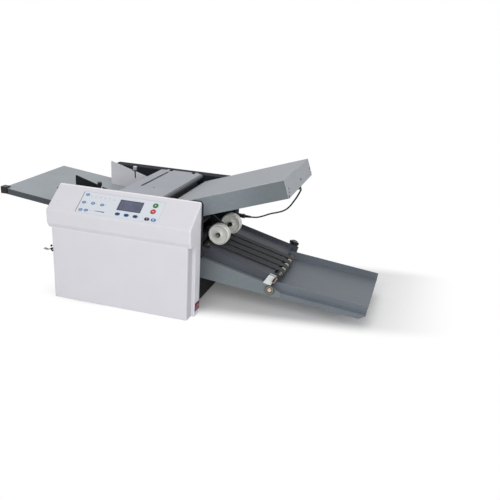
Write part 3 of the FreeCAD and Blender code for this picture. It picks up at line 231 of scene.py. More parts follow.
def add_piece(name, shape, place, material, body):
    """A bmesh drawn in millimetres becomes a piece that rides on a body."""
    bmesh.ops.recalc_face_normals(shape, faces=shape.faces)
    mesh = bpy.data.meshes.new(name)
    shape.to_mesh(mesh)
    shape.free()
    mesh.transform(place)
    mesh.shade_smooth()
    mesh.set_sharp_from_angle(angle=math.radians(CREASE))
    mesh.materials.append(material)
    piece = bpy.data.objects.new(name, mesh)
    bpy.context.scene.collection.objects.link(piece)
    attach(piece, body)
    return piece


def turned(shape, profile, x=0.0, y=0.0, steps=28):
    """Lathe work about the Z direction: profile is (radius, height), from one pole to the other."""
    rings = []
    for radius, height in profile:
        count = 1 if radius == 0 else steps
        rings.append([shape.verts.new((x + radius * math.cos(2 * math.pi * i / steps),
                                       y + radius * math.sin(2 * math.pi * i / steps), height))
                      for i in range(count)])
    for ring, after in zip(rings, rings[1:]):
        for i in range(steps):
            j = (i + 1) % steps
            corners = [ring[i % len(ring)], ring[j % len(ring)],
                       after[j % len(after)], after[i % len(after)]]
            shape.faces.new(list(dict.fromkeys(corners)))


def placed(x, y, z, *turns):
    """A place on the machine, in millimetres, with turns about its axes in degrees."""
    place = Matrix.Translation((x / 1000, y / 1000, z / 1000))
    for axis, angle in turns:
        place = place @ Matrix.Rotation(math.radians(angle), 4, axis)
    return place @ Matrix.Scale(0.001, 4)


def screw_head(shape, x, y, radius=3.2):
    """Pan head on the plane z = 0, its cross two thin bars that stand just proud of the dome."""
    dome = ((0, 0), (radius, 0), (radius, 0.8), (radius * 0.8, 1.6), (radius * 0.5, 1.8), (0, 1.8))
    bar_top, bar_foot = 1.86, 1.5
    turned(shape, dome, x, y)
    for long, wide in ((radius * 0.5, radius * 0.12), (radius * 0.12, radius * 0.5)):
        corners = [shape.verts.new((x + a * long, y + b * wide, bar_top))
                   for a, b in ((-1, -1), (1, -1), (1, 1), (-1, 1))]
        under = [shape.verts.new((v.co.x, v.co.y, bar_foot)) for v in corners]
        shape.faces.new(corners)
        shape.faces.new(under)
        for i in range(4):
            j = (i + 1) % 4
            shape.faces.new((corners[i], corners[j], under[j], under[i]))


foot_rubber = rubber("foot_rubber", stoved(30, 30, 31))
black_moulding = moulded("black_moulding", stoved(22, 22, 24))
zinc = worked_metal("bright_zinc", stoved(196, 199, 203), gloss=0.34)
dress(foot_rubber, "rubber_feet")
dress(black_moulding, "mains_inlet")
rear_face = placed(0, 254.4, 0, ("X", -90), ("Z", 180))
rear_screws = ((355, 295), (113, 295), (-68, 295), (307, 60), (113, 22), (-68, 22))
screws = bmesh.new()
for leftward, height in rear_screws:
    screw_head(screws, leftward, height)
add_piece("rear_cover_screws", screws, rear_face, zinc, "machine")


# ---------------------------------------------------------------------------------------------
# Operator cover: two white mouldings with a satin grain, the upper one bulging forward to the
# sloped panel, the lower one a plain tray under it.

# Metres: where the painted highlights on the rim at the cover's right end and on its top edge, and
# the painted shade on the lower panel's right end, start and are full, and the planes that the lower
# panel lies before and under.
COVER_RIM = (0.0985, 0.1025)
COVER_TOP = (0.3335, 0.3365)
LOWER_END = (0.0910, 0.0932)
LOWER_FRONT = -0.216
LOWER_TOP = 0.2262


def cover_highlights_and_shade(place, body):
    """Painted highlights along the cover's top edge and right rim, and painted shade down the lower
    panel's end.
    """
    rim = place.axis(0).between(*COVER_RIM)
    end = place.axis(0).between(*LOWER_END) * (LOWER_FRONT - place.axis(1)).between(0, 0.0004)
    end = end * (LOWER_TOP - place.axis(2)).between(0, 0.0006)
    body = rim.blend(body, stoved(232, 231, 237))
    body = end.blend(body, stoved(204, 203, 209))
    return place.axis(2).between(*COVER_TOP).blend(body, stoved(246, 246, 250))


white_moulding = moulded("white_moulding", stoved(223, 222, 228), gloss=0.42, grain=0.05, edge=0.004,
                         marks_and_painted_light=cover_highlights_and_shade)
dress(white_moulding, "control_cover", "front_panel")


# ---------------------------------------------------------------------------------------------
# A thin black strip on the rim between the operator cover and its frame, down the cover's right
# edge and round its upper corner.

def prism(shape, outline, low, high, hole=None):
    """Flat-topped block over an outline, with a hole of as many points if one is given."""
    if hole is None:
        floor_ring = [shape.verts.new((x, y, low)) for x, y in outline]
        roof_ring = [shape.verts.new((x, y, high)) for x, y in outline]
        shape.faces.new(floor_ring)
        shape.faces.new(roof_ring)
        rings = [floor_ring, roof_ring]
    else:
        rings = [[shape.verts.new((x, y, z)) for x, y in line]
                 for line, z in ((outline, low), (outline, high), (hole, high), (hole, low))]
        rings.append(rings[0])
    for ring, after in zip(rings, rings[1:]):
        for i in range(len(outline)):
            j = (i + 1) % len(outline)
            shape.faces.new((ring[i], ring[j], after[j], after[i]))


def bend(x, y, radius, start, end, steps=6):
    """Points of an arc, its angles in degrees."""
    angles = [math.radians(start + (end - start) * step / steps) for step in range(steps + 1)]
    return [(x + radius * math.cos(angle), y + radius * math.sin(angle)) for angle in angles]


edge_line_black = rubber("edge_line_black", stoved(5, 5, 7))
edge_line_corner = (94, 327)
edge_line_foot = 186
outer = [(106, edge_line_foot)] + bend(*edge_line_corner, 12, 0, 90) + [(74, 338.2)]
inner = [(74, 335)] + bend(*edge_line_corner, 8, 90, 0) + [(102, edge_line_foot)]
edge_line_shape = bmesh.new()
prism(edge_line_shape, outer + inner, 0, 7)
add_piece("cover_edge_line", edge_line_shape, placed(0, -171.4, 0, ("X", 90)), edge_line_black, "machine")


# ---------------------------------------------------------------------------------------------
# Mains switch: a red rocker in a black snap-in bezel, low on the cover's right side. The bezel's
# flange stands 1.3 mm out from the wall.

def rounded(x_low, x_high, y_low, y_high, radius, steps=5):
    """Points round a rectangle with rounded corners."""
    corners = ((x_high - radius, y_high - radius, 0), (x_low + radius, y_high - radius, 90),
               (x_low + radius, y_low + radius, 180), (x_high - radius, y_low + radius, 270))
    return [point for x, y, start in corners
            for point in bend(x, y, radius, start, start + 90, steps)]


red_lens = moulded("red_lens", stoved(186, 24, 28), gloss=0.22, grain=0.02, Coat_Weight=0.4)
dress(red_lens, "power_rocker")
switch_face = placed(103, -195.5, 38, ("Y", 90), ("Z", 90))
bezel_outside = rounded(-14.5, 14.5, -11.8, 11.8, 2.5)
bezel_inside = rounded(-12.1, 12.1, -9.6, 9.6, 1.2)
bezel = bmesh.new()
prism(bezel, bezel_outside, -0.4, 1.3, bezel_inside)
add_piece("switch_bezel", bezel, switch_face, black_moulding, "machine")


# ---------------------------------------------------------------------------------------------
# Control panel: a printed film with a moulded display window, and key caps of coloured plastic with
# a plain sign on each. The film's own membrane keys are printed rings round a pale field.

# The operator cover's middle, left to right, and the slope of its panel. Then the low and high side
# of a print on the film, of a second print over the first, and of one on a key cap.
COVER_MIDDLE = -113
PANEL_SLOPE = 36.6344
INK = (1.0, 1.06)
OVER = (1.06, 1.1)
CAP = (2.0, 2.05)

panel = placed(COVER_MIDDLE, -256.5, 279, ("X", PANEL_SLOPE))
film = moulded("panel_film", stoved(221, 225, 233), gloss=0.34, grain=0.03)
key_green = moulded("key_green", stoved(38, 112, 58), gloss=0.3, grain=0.03)
key_red = moulded("key_red", stoved(184, 44, 40), gloss=0.3, grain=0.03)
key_black = moulded("key_black", stoved(16, 16, 18), gloss=0.3, grain=0.03)
key_blue = moulded("key_blue", stoved(52, 108, 178), gloss=0.3, grain=0.03)
dress(film, "keypad_overlay")
dress(key_green, "start_key")
dress(key_red, "stop_key")
dress(key_black, "reset_key")
dress(key_blue, "test_key", "soft_key_left", "soft_key_middle", "soft_key_right")


def slate(place):
    """Unlit liquid crystal: slate blue with a haze, and a fine grid of cells."""
    haze = place.noise(30, 2)
    grid = place.node("ShaderNodeTexChecker", {}, {"Vector": place, "Scale": 900.0}, output=1)
    tone = haze * 0.8 + grid * 0.2
    return {"Base Color": tone.between(0.2, 0.9).blend(stoved(60, 68, 96), stoved(96, 102, 130)),
            "Roughness": 0.16 + 0.05 * haze}


display = finish("display_crystal", slate, Coat_Weight=0.5, Coat_Roughness=0.08)
dress(display, "display_window")
print_white = moulded("print_white", stoved(226, 230, 236), gloss=0.35)
print_blue = moulded("print_blue", stoved(50, 98, 160), gloss=0.35)
print_pale = moulded("print_pale", stoved(150, 190, 224), gloss=0.35)
print_grey = moulded("print_grey", stoved(176, 176, 186), gloss=0.35)
print_dark = moulded("print_dark", stoved(92, 92, 102), gloss=0.35)
print_black = moulded("print_black", stoved(26, 26, 34), gloss=0.3)
print_navy = moulded("print_navy", stoved(6, 20, 60), gloss=0.4)


def oval(x, y, half_long, half_high, steps=28):
    """Points round an oval."""
    return [(x + half_long * math.cos(2 * math.pi * i / steps),
             y + half_high * math.sin(2 * math.pi * i / steps)) for i in range(steps)]


def stroke(shape, points, width, low, high):
    """A printed line of one width through some points."""
    for (ax, ay), (bx, by) in zip(points, points[1:]):
        long = math.hypot(bx - ax, by - ay)
        nx, ny = (ay - by) / long * width / 2, (bx - ax) / long * width / 2
        corners = [(ax + nx, ay + ny), (ax - nx, ay - ny), (bx - nx, by - ny), (bx + nx, by + ny)]
        prism(shape, corners, low, high)


membrane_keys = ((-113.4, 69), (-113.7, 41.5), (-86, 42), (-57.6, 41), (-113.2, 15.7), (-97, 16.4))
key_ring = (6.2, 4.6)
key_field = (3.9, 2.6)
rings = bmesh.new()
fields = bmesh.new()
signs = bmesh.new()
for number, (x, y) in enumerate(membrane_keys):
    prism(rings, oval(x, y, *key_ring), *INK, oval(x, y, *key_field))
    prism(fields, oval(x, y, *key_field), *INK)
    stroke(signs, [(x - 1.9, y), (x + 1.9, y)], 0.8, *OVER)
    if number % 2:
        stroke(signs, [(x, y - 1.6), (x, y + 1.6)], 0.8, *OVER)
prism(rings, [(-72, 17.6), (-42, 15.8), (-42, 19.6), (-72, 18.8)], *INK)
marks = bmesh.new()
for x, y in ((-104.5, 41.2), (-76.5, 41.2), (-48.2, 41)):
    prism(marks, oval(x, y, 0.9, 0.9, 12), *INK)
for x in (-88, -84, -80, -76):
    stroke(marks, [(x, 17.2), (x, 19.8)], 0.5, *INK)
add_piece("membrane_rings", rings, panel, print_blue, "machine")
add_piece("membrane_fields", fields, panel, print_pale, "machine")
add_piece("membrane_signs", signs, panel, print_dark, "machine")
add_piece("membrane_marks", marks, panel, print_dark, "machine")

# Each fold's sign is one bent line: the corners of its path, about the sign's middle.
fold_signs = (((-2, 3), (2, 3), (-2, -3), (2, -3)), ((2, 3), (-2, 1), (-2, -1), (2, -3)),
              ((-2, -3), (-2, 3), (2, 3), (2, -3)), ((-2, 3), (2, 1), (-2, -1), (2, -3)),
              ((2, 3), (-2, 3), (-2, -3), (2, -3)), ((-2, 3), (-2, -3), (2, -3), (2, 1)))
first_sign = (-100, 64)
sign_spacing = 14.2
folds = bmesh.new()
for number, path in enumerate(fold_signs):
    stroke(folds, [(first_sign[0] + sign_spacing * number + x, first_sign[1] + y) for x, y in path],
           0.7, *INK)
add_piece("fold_signs", folds, panel, print_grey, "machine")

border = bmesh.new()
stroke(border, [(-126.2, 7.6), (-126.2, 79)], 1.6, *INK)
add_piece("panel_edge_line", border, panel, print_dark, "machine")
border = bmesh.new()
stroke(border, [(-125, 79.3), (118, 79.3)], 0.8, *INK)
stroke(border, [(118.3, 79), (118.3, 14)], 0.5, *INK)
add_piece("panel_thin_lines", border, panel, print_grey, "machine")
rim = bmesh.new()
prism(rim, rounded(-10.9, 58.9, 32.1, 67.9, 0.6), 0.8, 0.9, rounded(-9.2, 57.4, 33.6, 66.2, 0.6))
add_piece("display_rim", rim, panel, print_black, "machine")

sign = bmesh.new()
prism(sign, [(91.2, 63.5), (94, 60.8), (96.8, 63.5), (94, 66.2)], *CAP,
      [(92.8, 63.5), (94, 62.4), (95.2, 63.5), (94, 64.6)])
add_piece("start_sign", sign, panel, print_white, "start_key")
sign = bmesh.new()
for x in (92.2, 95.8):
    stroke(sign, [(x, 41), (x, 45)], 1.3, *CAP)
add_piece("stop_sign", sign, panel, print_white, "stop_key")
sign = bmesh.new()
stroke(sign, [(83.8, 18), (87.2, 15)], 1.0, *CAP)
add_piece("reset_sign", sign, panel, print_white, "reset_key")
sign = bmesh.new()
prism(sign, oval(104.5, 16.5, 3.4, 1.9), *CAP, oval(104.5, 16.5, 1.5, 0.6))
add_piece("test_sign", sign, panel, print_white, "test_key")
for x, side in ((-2.5, "left"), (24, "middle"), (50.5, "right")):
    sign = bmesh.new()
    prism(sign, oval(x, 18.4, 5.6, 3.2), *CAP)
    add_piece("soft_sign_" + side, sign, panel, print_navy, "soft_key_" + side)


# ---------------------------------------------------------------------------------------------
# Feed table: one folded steel sheet, mid grey, darker on the front face of its lip, with a black
# plastic cap on the front left corner.

LIP_FACE = -0.1262


def lip_face_darker(place, body):
    """The coat is darker on the front face of the lip."""
    return (LIP_FACE - place.axis(1)).between(-0.0001, 0.0001).blend(body, stoved(70, 76, 82))


table_grey = powder_coat("table_coat", stoved(164, 171, 177), marks_and_painted_light=lip_face_darker)
dress(table_grey, "feed_table")
dress(black_moulding, "table_corner_cap")


# ---------------------------------------------------------------------------------------------
# Paper guides: folded plates on the table, the front one black, the rear one light grey with a
# blacked post. A knob clamps each on its post, and a strip narrows the rear plate's slot.

# The middle of the paper's way, front to back, in millimetres. The post's middle and reach in metres.
PAPER_LINE = 40.5
GUIDE_POST = (-0.26, 0.1575, 0)
POST_RADIUS = (0.0042, 0.0046)


def black_post(place, body):
    """The guide's post is blacked, the plate and foot are not."""
    apart = place.vector("SUBTRACT", place, GUIDE_POST)
    beside = apart.vector("MULTIPLY", apart, (1, 1, 0))
    radius = beside.vector("LENGTH", beside, output=1)
    return radius.between(*POST_RADIUS).blend(stoved(12, 12, 14), body)


guide_grey = powder_coat("guide_coat", stoved(214, 213, 219), marks_and_painted_light=black_post)
dress(black_coat, "side_guide_front")
dress(guide_grey, "side_guide_rear")
dress(black_moulding, "guide_knob_front")
dress(zinc, "guide_knob_rear")
strip = bmesh.new()
prism(strip, [(-154, 283), (-146.5, 283), (-146.5, 308), (-154, 310)], -112.6, -111.6)
add_piece("guide_slot_strip", strip, placed(COVER_MIDDLE, PAPER_LINE, 0, ("X", 90)), guide_grey,
          "side_guide_rear")


# ---------------------------------------------------------------------------------------------
# Feed head: a hinged cover of light grey sheet whose right edge is rolled over, with painted shade
# in bands on the roll, a dark grey strip under its slot and a rivet beside it, and the feed roller's
# rubber tyres below.

# Where each band of painted shade on the hem starts, in metres, with its colour, and how softly it
# starts.
HEM_SHADE_BANDS = ((-0.3592, (70, 74, 79)), (-0.3578, (108, 113, 118)), (-0.3512, (44, 48, 52)),
             (-0.3490, (84, 89, 94)), (-0.3450, (34, 37, 41)))
BAND_BLUR = 0.0004


def hem_painted_shade(place, body):
    """Painted shade on the hem in bands, told apart by how far round the roll they lie."""
    round_it = place.axis(0) - place.axis(2)
    for start, colour in HEM_SHADE_BANDS:
        body = round_it.between(start, start + BAND_BLUR).blend(body, stoved(*colour))
    return body


head_grey = powder_coat("head_coat", stoved(167, 171, 179), marks_and_painted_light=hem_painted_shade)
dress(head_grey, "feed_head_cover")
tyre = rubber("tyre_rubber", stoved(58, 58, 60))
dress(tyre, "feed_roller", "exit_roller")
# A dark grey strip under the head's slot.
slot_strip_grey = rubber("slot_strip_grey", stoved(50, 53, 60))
slot_shape = bmesh.new()
prism(slot_shape, rounded(-159, -145, -20, 186, 6), 310.4, 311.3)
add_piece("head_slot_strip", slot_shape, placed(0, 0, 0), slot_strip_grey, "feed_head")
rivet = bmesh.new()
turned(rivet, ((0, -0.3), (2.6, -0.3), (2.4, 0.5), (1.4, 1.0), (0, 1.1)))
add_piece("head_rivet", rivet, placed(-111.9, -17.3, 313), black_moulding, "feed_head")


# ---------------------------------------------------------------------------------------------
# Fold rollers, gears and drive: rubber covered rollers with nylon gears on their shafts, and a black
# motor whose turned steel pulley drives them by a rubber belt.

nylon_gear = moulded("gear_nylon", stoved(226, 220, 200), gloss=0.4)
dress(tyre, "fold_roller_1", "fold_roller_2", "fold_roller_3", "fold_roller_4", "drive_belt")
dress(nylon_gear, "fold_gear_1", "fold_gear_2", "fold_gear_3", "fold_gear_4")
dress(black_coat, "main_motor")
steel = worked_metal("turned_steel", stoved(176, 172, 164))
dress(steel, "motor_pulley")


# ---------------------------------------------------------------------------------------------
# Upper fold plate: a flat box of sheet metal that the paper runs into, with a light top sheet over a
# mid grey body, painted lighter toward the cover where the cover shades it. Its end carries small
# black screws, the grommet of a hole, and small dark pads.

# The stretch, in metres, over which the painted light on the coat goes from its palest to its
# darkest, and by how much.
PALER_OVER = (0.06, 0.3)
PALEST = (1.6, 1.6, 1.6, 1)
DARKEST = (0.84, 0.84, 0.84, 1)


def painted_light_near_cover(place, body):
    """Painted light: the coat is paler toward the plate's lower end, which the cover keeps from the
    light.
    """
    lift = place.axis(0).between(*PALER_OVER).blend(PALEST, DARKEST)
    return body.vector("MULTIPLY", body, lift)


plate_grey = powder_coat("plate_coat", stoved(117, 125, 130), marks_and_painted_light=painted_light_near_cover)
light_grey = powder_coat("light_grey_coat", stoved(166, 171, 177))
dress(light_grey, "fold_plate_top_sheet")
dress(plate_grey, "fold_plate_frame")
dress(black_coat, "paper_stop")
plate_end = placed(309.2, PAPER_LINE, 409.3, ("Y", -18.9), ("Y", 90), ("Z", 90))
screws = bmesh.new()
for across, level in ((-132.5, -28.6), (-135.8, -38.5), (140.5, -28.5)):
    screw_head(screws, across, level, 1.7)
add_piece("plate_end_screws", screws, plate_end, black_moulding, "machine")
grommet = bmesh.new()
turned(grommet, ((0, -1.6), (3.6, -1.6), (3.6, 0.5), (2.8, 1.0), (2.2, 0.2), (0, -0.4)), 11, -35)
add_piece("plate_end_grommet", grommet, plate_end, black_moulding, "machine")
# Small dark pads on the plate's end.
end_pads = bmesh.new()
prism(end_pads, rounded(-148.5, -144.5, -52.2, -43.5, 1.2), -0.2, 0.9)
prism(end_pads, rounded(141.8, 145.5, -31, -26.5, 0.8), -0.2, 0.5)
prism(end_pads, rounded(146.5, 149.6, -45, -40.5, 0.8), -0.2, 0.5)
add_piece("plate_end_pads", end_pads, plate_end, foot_rubber, "machine")


# ---------------------------------------------------------------------------------------------
# Latch of the lower fold plate: a bent strip of spring steel at the machine's left end, between two
# pairs of turned rubber buffers.

spring_steel = worked_metal("spring_steel", stoved(190, 192, 196), along=(8, 1, 8))
dress(spring_steel, "plate_latch")
buffer_profile = ((0, 0), (2.4, 0.3), (3.1, 1.2), (3.1, 5), (2.4, 6), (0, 6.2))
buffers = bmesh.new()
for x, z in ((-419.5, 106.6), (-420.5, 96.5)):
    for foot in (-146.6, -130.6):
        turned(buffers, [(radius, foot + height) for radius, height in buffer_profile], x, -z, 16)
add_piece("latch_buffers", buffers, placed(0, PAPER_LINE, 0, ("X", -90)), foot_rubber, "machine")


# ---------------------------------------------------------------------------------------------
# Cord of the upper fold plate: black, 5 mm thick, from a round plug in the rear cover up to a
# rubber boot in the plate's underside. It hangs in one loose bend.

cord_black = moulded("cord_pvc", stoved(14, 14, 15), gloss=0.36, grain=0.05)
dress(black_moulding, "cord_socket", "cord_plug")
dress(foot_rubber, "cord_gland")
CORD_RADIUS = 0.0025
route = ((238, 195, 181.5), (256, 195, 181.5), (283, 185, 194), (313, 165, 212.5), (344, 139, 228),
         (371, 110, 246), (393, 79, 270), (411, 48, 298), (425, 24, 320), (437.7, 8, 346))
curve = bpy.data.curves.new("plate_cord_line", "CURVE")
curve.dimensions = "3D"
curve.bevel_depth = CORD_RADIUS
curve.bevel_resolution = 6
curve.resolution_u = 12
curve.use_fill_caps = True
line = curve.splines.new("NURBS")
line.points.add(len(route) - 1)
for point, (x, y, z) in zip(line.points, route):
    point.co = ((x + COVER_MIDDLE) / 1000, (y + PAPER_LINE) / 1000, z / 1000, 1)
line.order_u = 3
line.use_endpoint_u = True
curve.materials.append(cord_black)
cord = bpy.data.objects.new("fold_plate_cord", curve)
bpy.context.scene.collection.objects.link(cord)
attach(cord, "machine")
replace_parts(cord, "plate_cord")


# ---------------------------------------------------------------------------------------------
# Stacker wheels: off-white nylon wheels on a black swinging arm, held by a plated hexagon nut on the
# end of their axle.

ivory = moulded("ivory_nylon", stoved(250, 250, 244), gloss=0.34, grain=0.04)
dress(ivory, "stacker_wheel_front", "stacker_wheel_rear")
dress(black_coat, "wheel_arm")
nut = bmesh.new()
prism(nut, oval(0, 0, 4.6, 4.6, 6), 0.1, 2.6)
turned(nut, ((0, 0), (2.4, 0), (2.4, 3.6), (1.8, 4.2), (0, 4.2)), steps=16)
add_piece("axle_nut", nut, placed(103.6, -40, 198.8, ("X", 90)), zinc, "wheel_arm")


# ---------------------------------------------------------------------------------------------
# Conveyor: a slate grey trough with four black belts on turned rollers, between mid grey rails, and
# a tray that pulls out under it and is clamped by a winged black knob.

slate_coat = powder_coat("slate_coat", stoved(76, 79, 88))
rail_grey = powder_coat("rail_coat", stoved(121, 129, 134))
tray_grey = powder_coat("tray_coat", stoved(112, 119, 127))
dress(slate_coat, "conveyor_bed")
dress(tyre, "conveyor_belts")
dress(steel, "belt_drive_roller", "belt_end_roller")
dress(rail_grey, "conveyor_rail_front", "conveyor_rail_rear")
dress(tray_grey, "conveyor_extension")
dress(black_moulding, "extension_clamp_knob")


# ---------------------------------------------------------------------------------------------
# Tray bracket: a plated strip of sheet that rises outside the front rail and hooks over it, with a
# painted backing plate behind its foot.

BED_SLOPE = 14.4
bed = placed(104, PAPER_LINE, 165.5, ("Y", BED_SLOPE))


def hooked_strip(shape, stations, back=2, under=-0.6):
    """A strip of sheet through stations of (left, right, along, height), closed at both ends."""
    outside = [[shape.verts.new((x, along, height)) for x in (left, right)]
               for left, right, along, height in stations]
    inside = [[shape.verts.new((x, along + back, height + under)) for x in (left, right)]
              for left, right, along, height in stations]
    for i in range(len(stations) - 1):
        (a, b), (c, d), (e, f), (g, h) = outside[i], inside[i], outside[i + 1], inside[i + 1]
        for corners in ((a, b, f, e), (d, c, g, h), (c, a, e, g), (b, d, h, f)):
            shape.faces.new(corners)
    for (a, b), (c, d) in ((outside[0], inside[0]), (outside[-1], inside[-1])):
        shape.faces.new((a, b, d, c))


bracket_zinc = worked_metal("bracket_zinc", stoved(205, 209, 208), gloss=0.5, metal=0.3)
dress(bracket_zinc, "extension_bracket")
hook = bmesh.new()
hooked_strip(hook, ((175, 198, -152, -17), (183, 203, -139.8, 7.4), (183.5, 203.5, -129, 8.4)))
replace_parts(add_piece("bracket_hook", hook, bed, bracket_zinc, "machine"), "extension_bracket")
on_edge = Matrix(((1, 0, 0, 0), (0, 0, 1, 0), (0, 1, 0, 0), (0, 0, 0, 1)))
backing = bmesh.new()
prism(backing, rounded(187, 214, -44, -20, 2), -152, -150)
add_piece("bracket_backing", backing, bed @ on_edge, rail_grey, "machine")


# ---------------------------------------------------------------------------------------------
# Lock knob of the tray: turned, with a ribbed rim and a raised cross on its boss. Its plating is
# brassy on the ring; the cream on the boss and cross is a painted highlight, and the dark in the
# groove between is painted shade.

# Metres: the knob's middle, and the plane from which the cream painted highlight comes in, half on
# the boss and full on the cross. TO_RIM turns the radius into 0 at the middle and 1 at the rim.
KNOB_MIDDLE = (0.291, 0.0, 0.088)
KNOB_FACE = -0.11765
TO_RIM = 66.7
# Colours ring by ring from the middle; the dark stops at 0.50 and 0.56 are painted shade in the
# groove.
KNOB_RINGS = ((0.0, (150, 128, 116)), (0.40, (176, 154, 140)), (0.50, (52, 48, 44)),
              (0.56, (60, 56, 50)), (0.60, (150, 150, 140)), (0.76, (138, 138, 128)),
              (0.80, (66, 68, 62)), (1.0, (84, 88, 84)))


def knob_colours_and_painted_light(place):
    """Colours ring by ring from the middle out, with painted shade in the groove, and a cream painted
    highlight on the raised faces.
    """
    centred = place.vector("SUBTRACT", place, KNOB_MIDDLE)
    out = centred.vector("MULTIPLY", centred, (1, 0, 1))
    radius = out.vector("LENGTH", out, output=1)
    stops = tuple((start, stoved(*colour)) for start, colour in KNOB_RINGS)
    colour = radius.node("ShaderNodeValToRGB", {"stops": stops}, {"Fac": radius * TO_RIM})
    raised_highlight = (KNOB_FACE - place.axis(1)).between(0, 0.0001)
    return {"Base Color": raised_highlight.blend(colour, stoved(232, 212, 198)),
            "Roughness": 0.35 + 0.2 * place.noise(300, 2),
            "Normal": place.noise(900, 2).relief(0.1, 0.0003)}


RIBS = 24
RIB_ROOT = 13.1
knob = bmesh.new()
turned(knob, ((0, -14), (3.9, -14), (3.9, 0), (12.4, 0), (13.4, 0.8), (13.4, 4.6), (12.2, 5.6),
              (8.6, 5.6), (8.2, 4.2), (7.0, 4.2), (6.8, 5.4), (5.8, 6.2), (0, 6.2)), steps=48)
for number in range(RIBS):
    angle = 2 * math.pi * number / RIBS
    rib = [(RIB_ROOT * math.cos(angle + turn) * out, RIB_ROOT * math.sin(angle + turn) * out)
           for turn, out in ((-0.06, 1.0), (0.06, 1.0), (0.03, 1.06), (-0.03, 1.06))]
    prism(knob, rib, 0.9, 4.5)
cross_arm = ((1.5, -1.5), (5.2, -1.5), (5.2, 1.5))
cross = [(long * math.cos(turn) - wide * math.sin(turn), long * math.sin(turn) + wide * math.cos(turn))
         for turn in (0, math.pi / 2, math.pi, 1.5 * math.pi) for long, wide in cross_arm]
prism(knob, cross, 6.1, 6.7)
knob_metal = finish("lock_knob_metal", knob_colours_and_painted_light, Metallic=0.5)
knob_place = placed(291, -111.5, 88, ("X", 90))
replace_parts(add_piece("lock_knob", knob, knob_place, knob_metal, "extension_lock_knob"),
            "extension_lock_knob")


# ---------------------------------------------------------------------------------------------
# Rods beside the tray bracket: a short copper plated rod that leans with the bracket's edge, and a
# thinner black rod along it.

ROD_LEAN = ("Y", 30)
rod = bmesh.new()
turned(rod, ((0, -14), (2.4, -14), (3.0, -13), (3.0, 5), (2.4, 6), (0, 6)), steps=16)
copper = worked_metal("copper_plate", stoved(158, 134, 128), gloss=0.35)
add_piece("bracket_rod", rod, placed(306.4, -113.4, 120.2, ROD_LEAN), copper, "machine")
dark_line_rod = bmesh.new()
turned(dark_line_rod, ((0, -9), (1.4, -9), (1.7, -8), (1.7, 6), (1.4, 6.8), (0, 6.8)), steps=12)
add_piece("rod_dark_line", dark_line_rod, placed(301.4, -113.4, 121.2, ROD_LEAN), black_moulding,
          "machine")


# ---------------------------------------------------------------------------------------------
# Studio: a pale floor that keeps the machine's shadow, a white surround, three soft lights and the
# camera.

def add_light(name, place, aim, size, power):
    """A round soft light, its place, aim and size in metres, its power in watts."""
    lamp = bpy.data.lights.new(name, "AREA")
    lamp.shape = "DISK"
    lamp.size = size
    lamp.energy = power
    item = bpy.data.objects.new(name, lamp)
    bpy.context.scene.collection.objects.link(item)
    item.location = place
    item.rotation_euler = (Vector(aim) - Vector(place)).to_track_quat("-Z", "Y").to_euler()


add_light("key_light", place=(0.3, -3.5, 2.6), aim=(0, 0, 0.2), size=2.4, power=45)
add_light("top_light", place=(0.2, 0.5, 3.2), aim=(0, 0, 0.2), size=2.8, power=17)
add_light("side_light", place=(3.1, -3.3, 1.8), aim=(0.1, 0, 0.2), size=2.2, power=50)

FLOOR_HALF = 9
WHITE = (1, 1, 1, 1)
floor_shape = bmesh.new()
bmesh.ops.create_grid(floor_shape, x_segments=1, y_segments=1, size=FLOOR_HALF)
floor_mesh = bpy.data.meshes.new("studio_floor")
floor_shape.to_mesh(floor_mesh)
floor_shape.free()
floor = bpy.data.objects.new("studio_floor", floor_mesh)
bpy.context.scene.collection.objects.link(floor)
paper = finish("floor_paper", lambda place: {
    "Base Color": place.noise(3, 2).blend((0.94, 0.94, 0.94, 1), (0.97, 0.97, 0.97, 1))},
    Roughness=0.9, Specular_IOR_Level=0.1)
floor_mesh.materials.append(paper)

# To the camera the paper is a little brighter, by GLOW, and plain white away from the machine. The
# ground that keeps the shadow is a slanted box of half sizes GROUND_HALF about GROUND_X, its middle
# line y = GROUND_SLANT * x + GROUND_Y. The white comes in over FADE past it; END_WEIGHT makes that
# longer past the box's ends.
GROUND_X = 0.2
GROUND_Y = 0.07
GROUND_SLANT = 0.16
GROUND_HALF = (0.36, 0.2, 0)
END_WEIGHT = (0.32, 1, 1)
FADE = 0.085
GLOW = (0.07, 0.07, 0.07, 1)
sheet = Tone(paper.node_tree)
camera_ray = sheet.node("ShaderNodeLightPath", output="Is Camera Ray")
spot = sheet.node("ShaderNodeTexCoord", output="Object")
across = spot.axis(1) - GROUND_SLANT * spot.axis(0) - GROUND_Y
skewed = sheet.node("ShaderNodeCombineXYZ", {}, {0: spot.axis(0) - GROUND_X, 1: across})
outside = spot.vector("SUBTRACT", spot.vector("ABSOLUTE", skewed), GROUND_HALF)
beyond = spot.vector("MULTIPLY", spot.vector("MAXIMUM", outside, (0, 0, 0)), END_WEIGHT)
away = beyond.vector("LENGTH", beyond, output=1).between(0.0, FADE) * camera_ray
surface = Tone(paper.node_tree, paper.node_tree.nodes["Principled BSDF"].outputs[0])
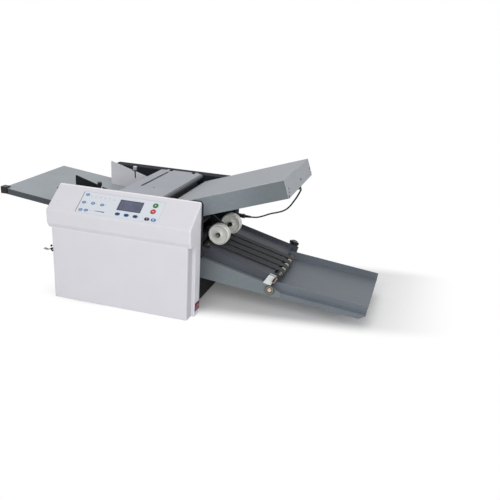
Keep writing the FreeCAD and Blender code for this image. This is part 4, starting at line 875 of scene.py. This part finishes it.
glow = sheet.node("ShaderNodeEmission", {}, {"Color": camera_ray.blend((0, 0, 0, 1), GLOW)})
lifted = surface.node("ShaderNodeAddShader", {}, {0: surface, 1: glow})
plain = sheet.node("ShaderNodeEmission", {}, {"Color": WHITE})
covering = sheet.node("ShaderNodeMixShader", {}, {0: away, 1: lifted, 2: plain})
paper.node_tree.links.new(covering.socket, paper.node_tree.nodes["Material Output"].inputs["Surface"])

# The surround lights the machine at ROOM_LIGHT, and shows white to the eye, in metal and in glass.
ROOM_LIGHT = 0.4
world = bpy.data.worlds.new("studio_surround")
bpy.context.scene.world = world
world.use_nodes = True
surround = Tone(world.node_tree)
seen = surround.node("ShaderNodeLightPath", output="Is Camera Ray")
shiny = surround.node("ShaderNodeLightPath", output="Is Glossy Ray")
through = surround.node("ShaderNodeLightPath", output="Is Transmission Ray")
backdrop = seen.maths("MAXIMUM", seen, seen.maths("MAXIMUM", shiny, through))
strength = backdrop * (1 - ROOM_LIGHT) + ROOM_LIGHT
background = world.node_tree.nodes["Background"]
background.inputs["Color"].default_value = WHITE
world.node_tree.links.new(strength.socket, background.inputs["Strength"])

# The camera looks down on the machine from its right front: angles round it, above it and of its own
# roll, in degrees.
LENS = 46.24
SEEN_FROM = (0.682, -1.7385, 0.821)
ROUND, ABOVE, ROLL = 15.66, 20.26, 3.32
scene = bpy.context.scene
scene.view_settings.view_transform = "Standard"
lens = bpy.data.cameras.new("studio_camera")
lens.sensor_width = 36
lens.lens = LENS
lens.clip_end = 50
camera = bpy.data.objects.new("studio_camera", lens)
scene.collection.objects.link(camera)
around, above, roll = (math.radians(angle) for angle in (ROUND, ABOVE, ROLL))
ahead = Vector((-math.sin(around) * math.cos(above), math.cos(around) * math.cos(above),
                -math.sin(above)))
level = Vector((math.cos(around), math.sin(around), 0))
right = math.cos(roll) * level + math.sin(roll) * level.cross(ahead)
axes = Matrix((right, right.cross(ahead), -ahead)).transposed().to_4x4()
camera.matrix_world = Matrix.Translation(SEEN_FROM) @ axes
scene.camera = camera
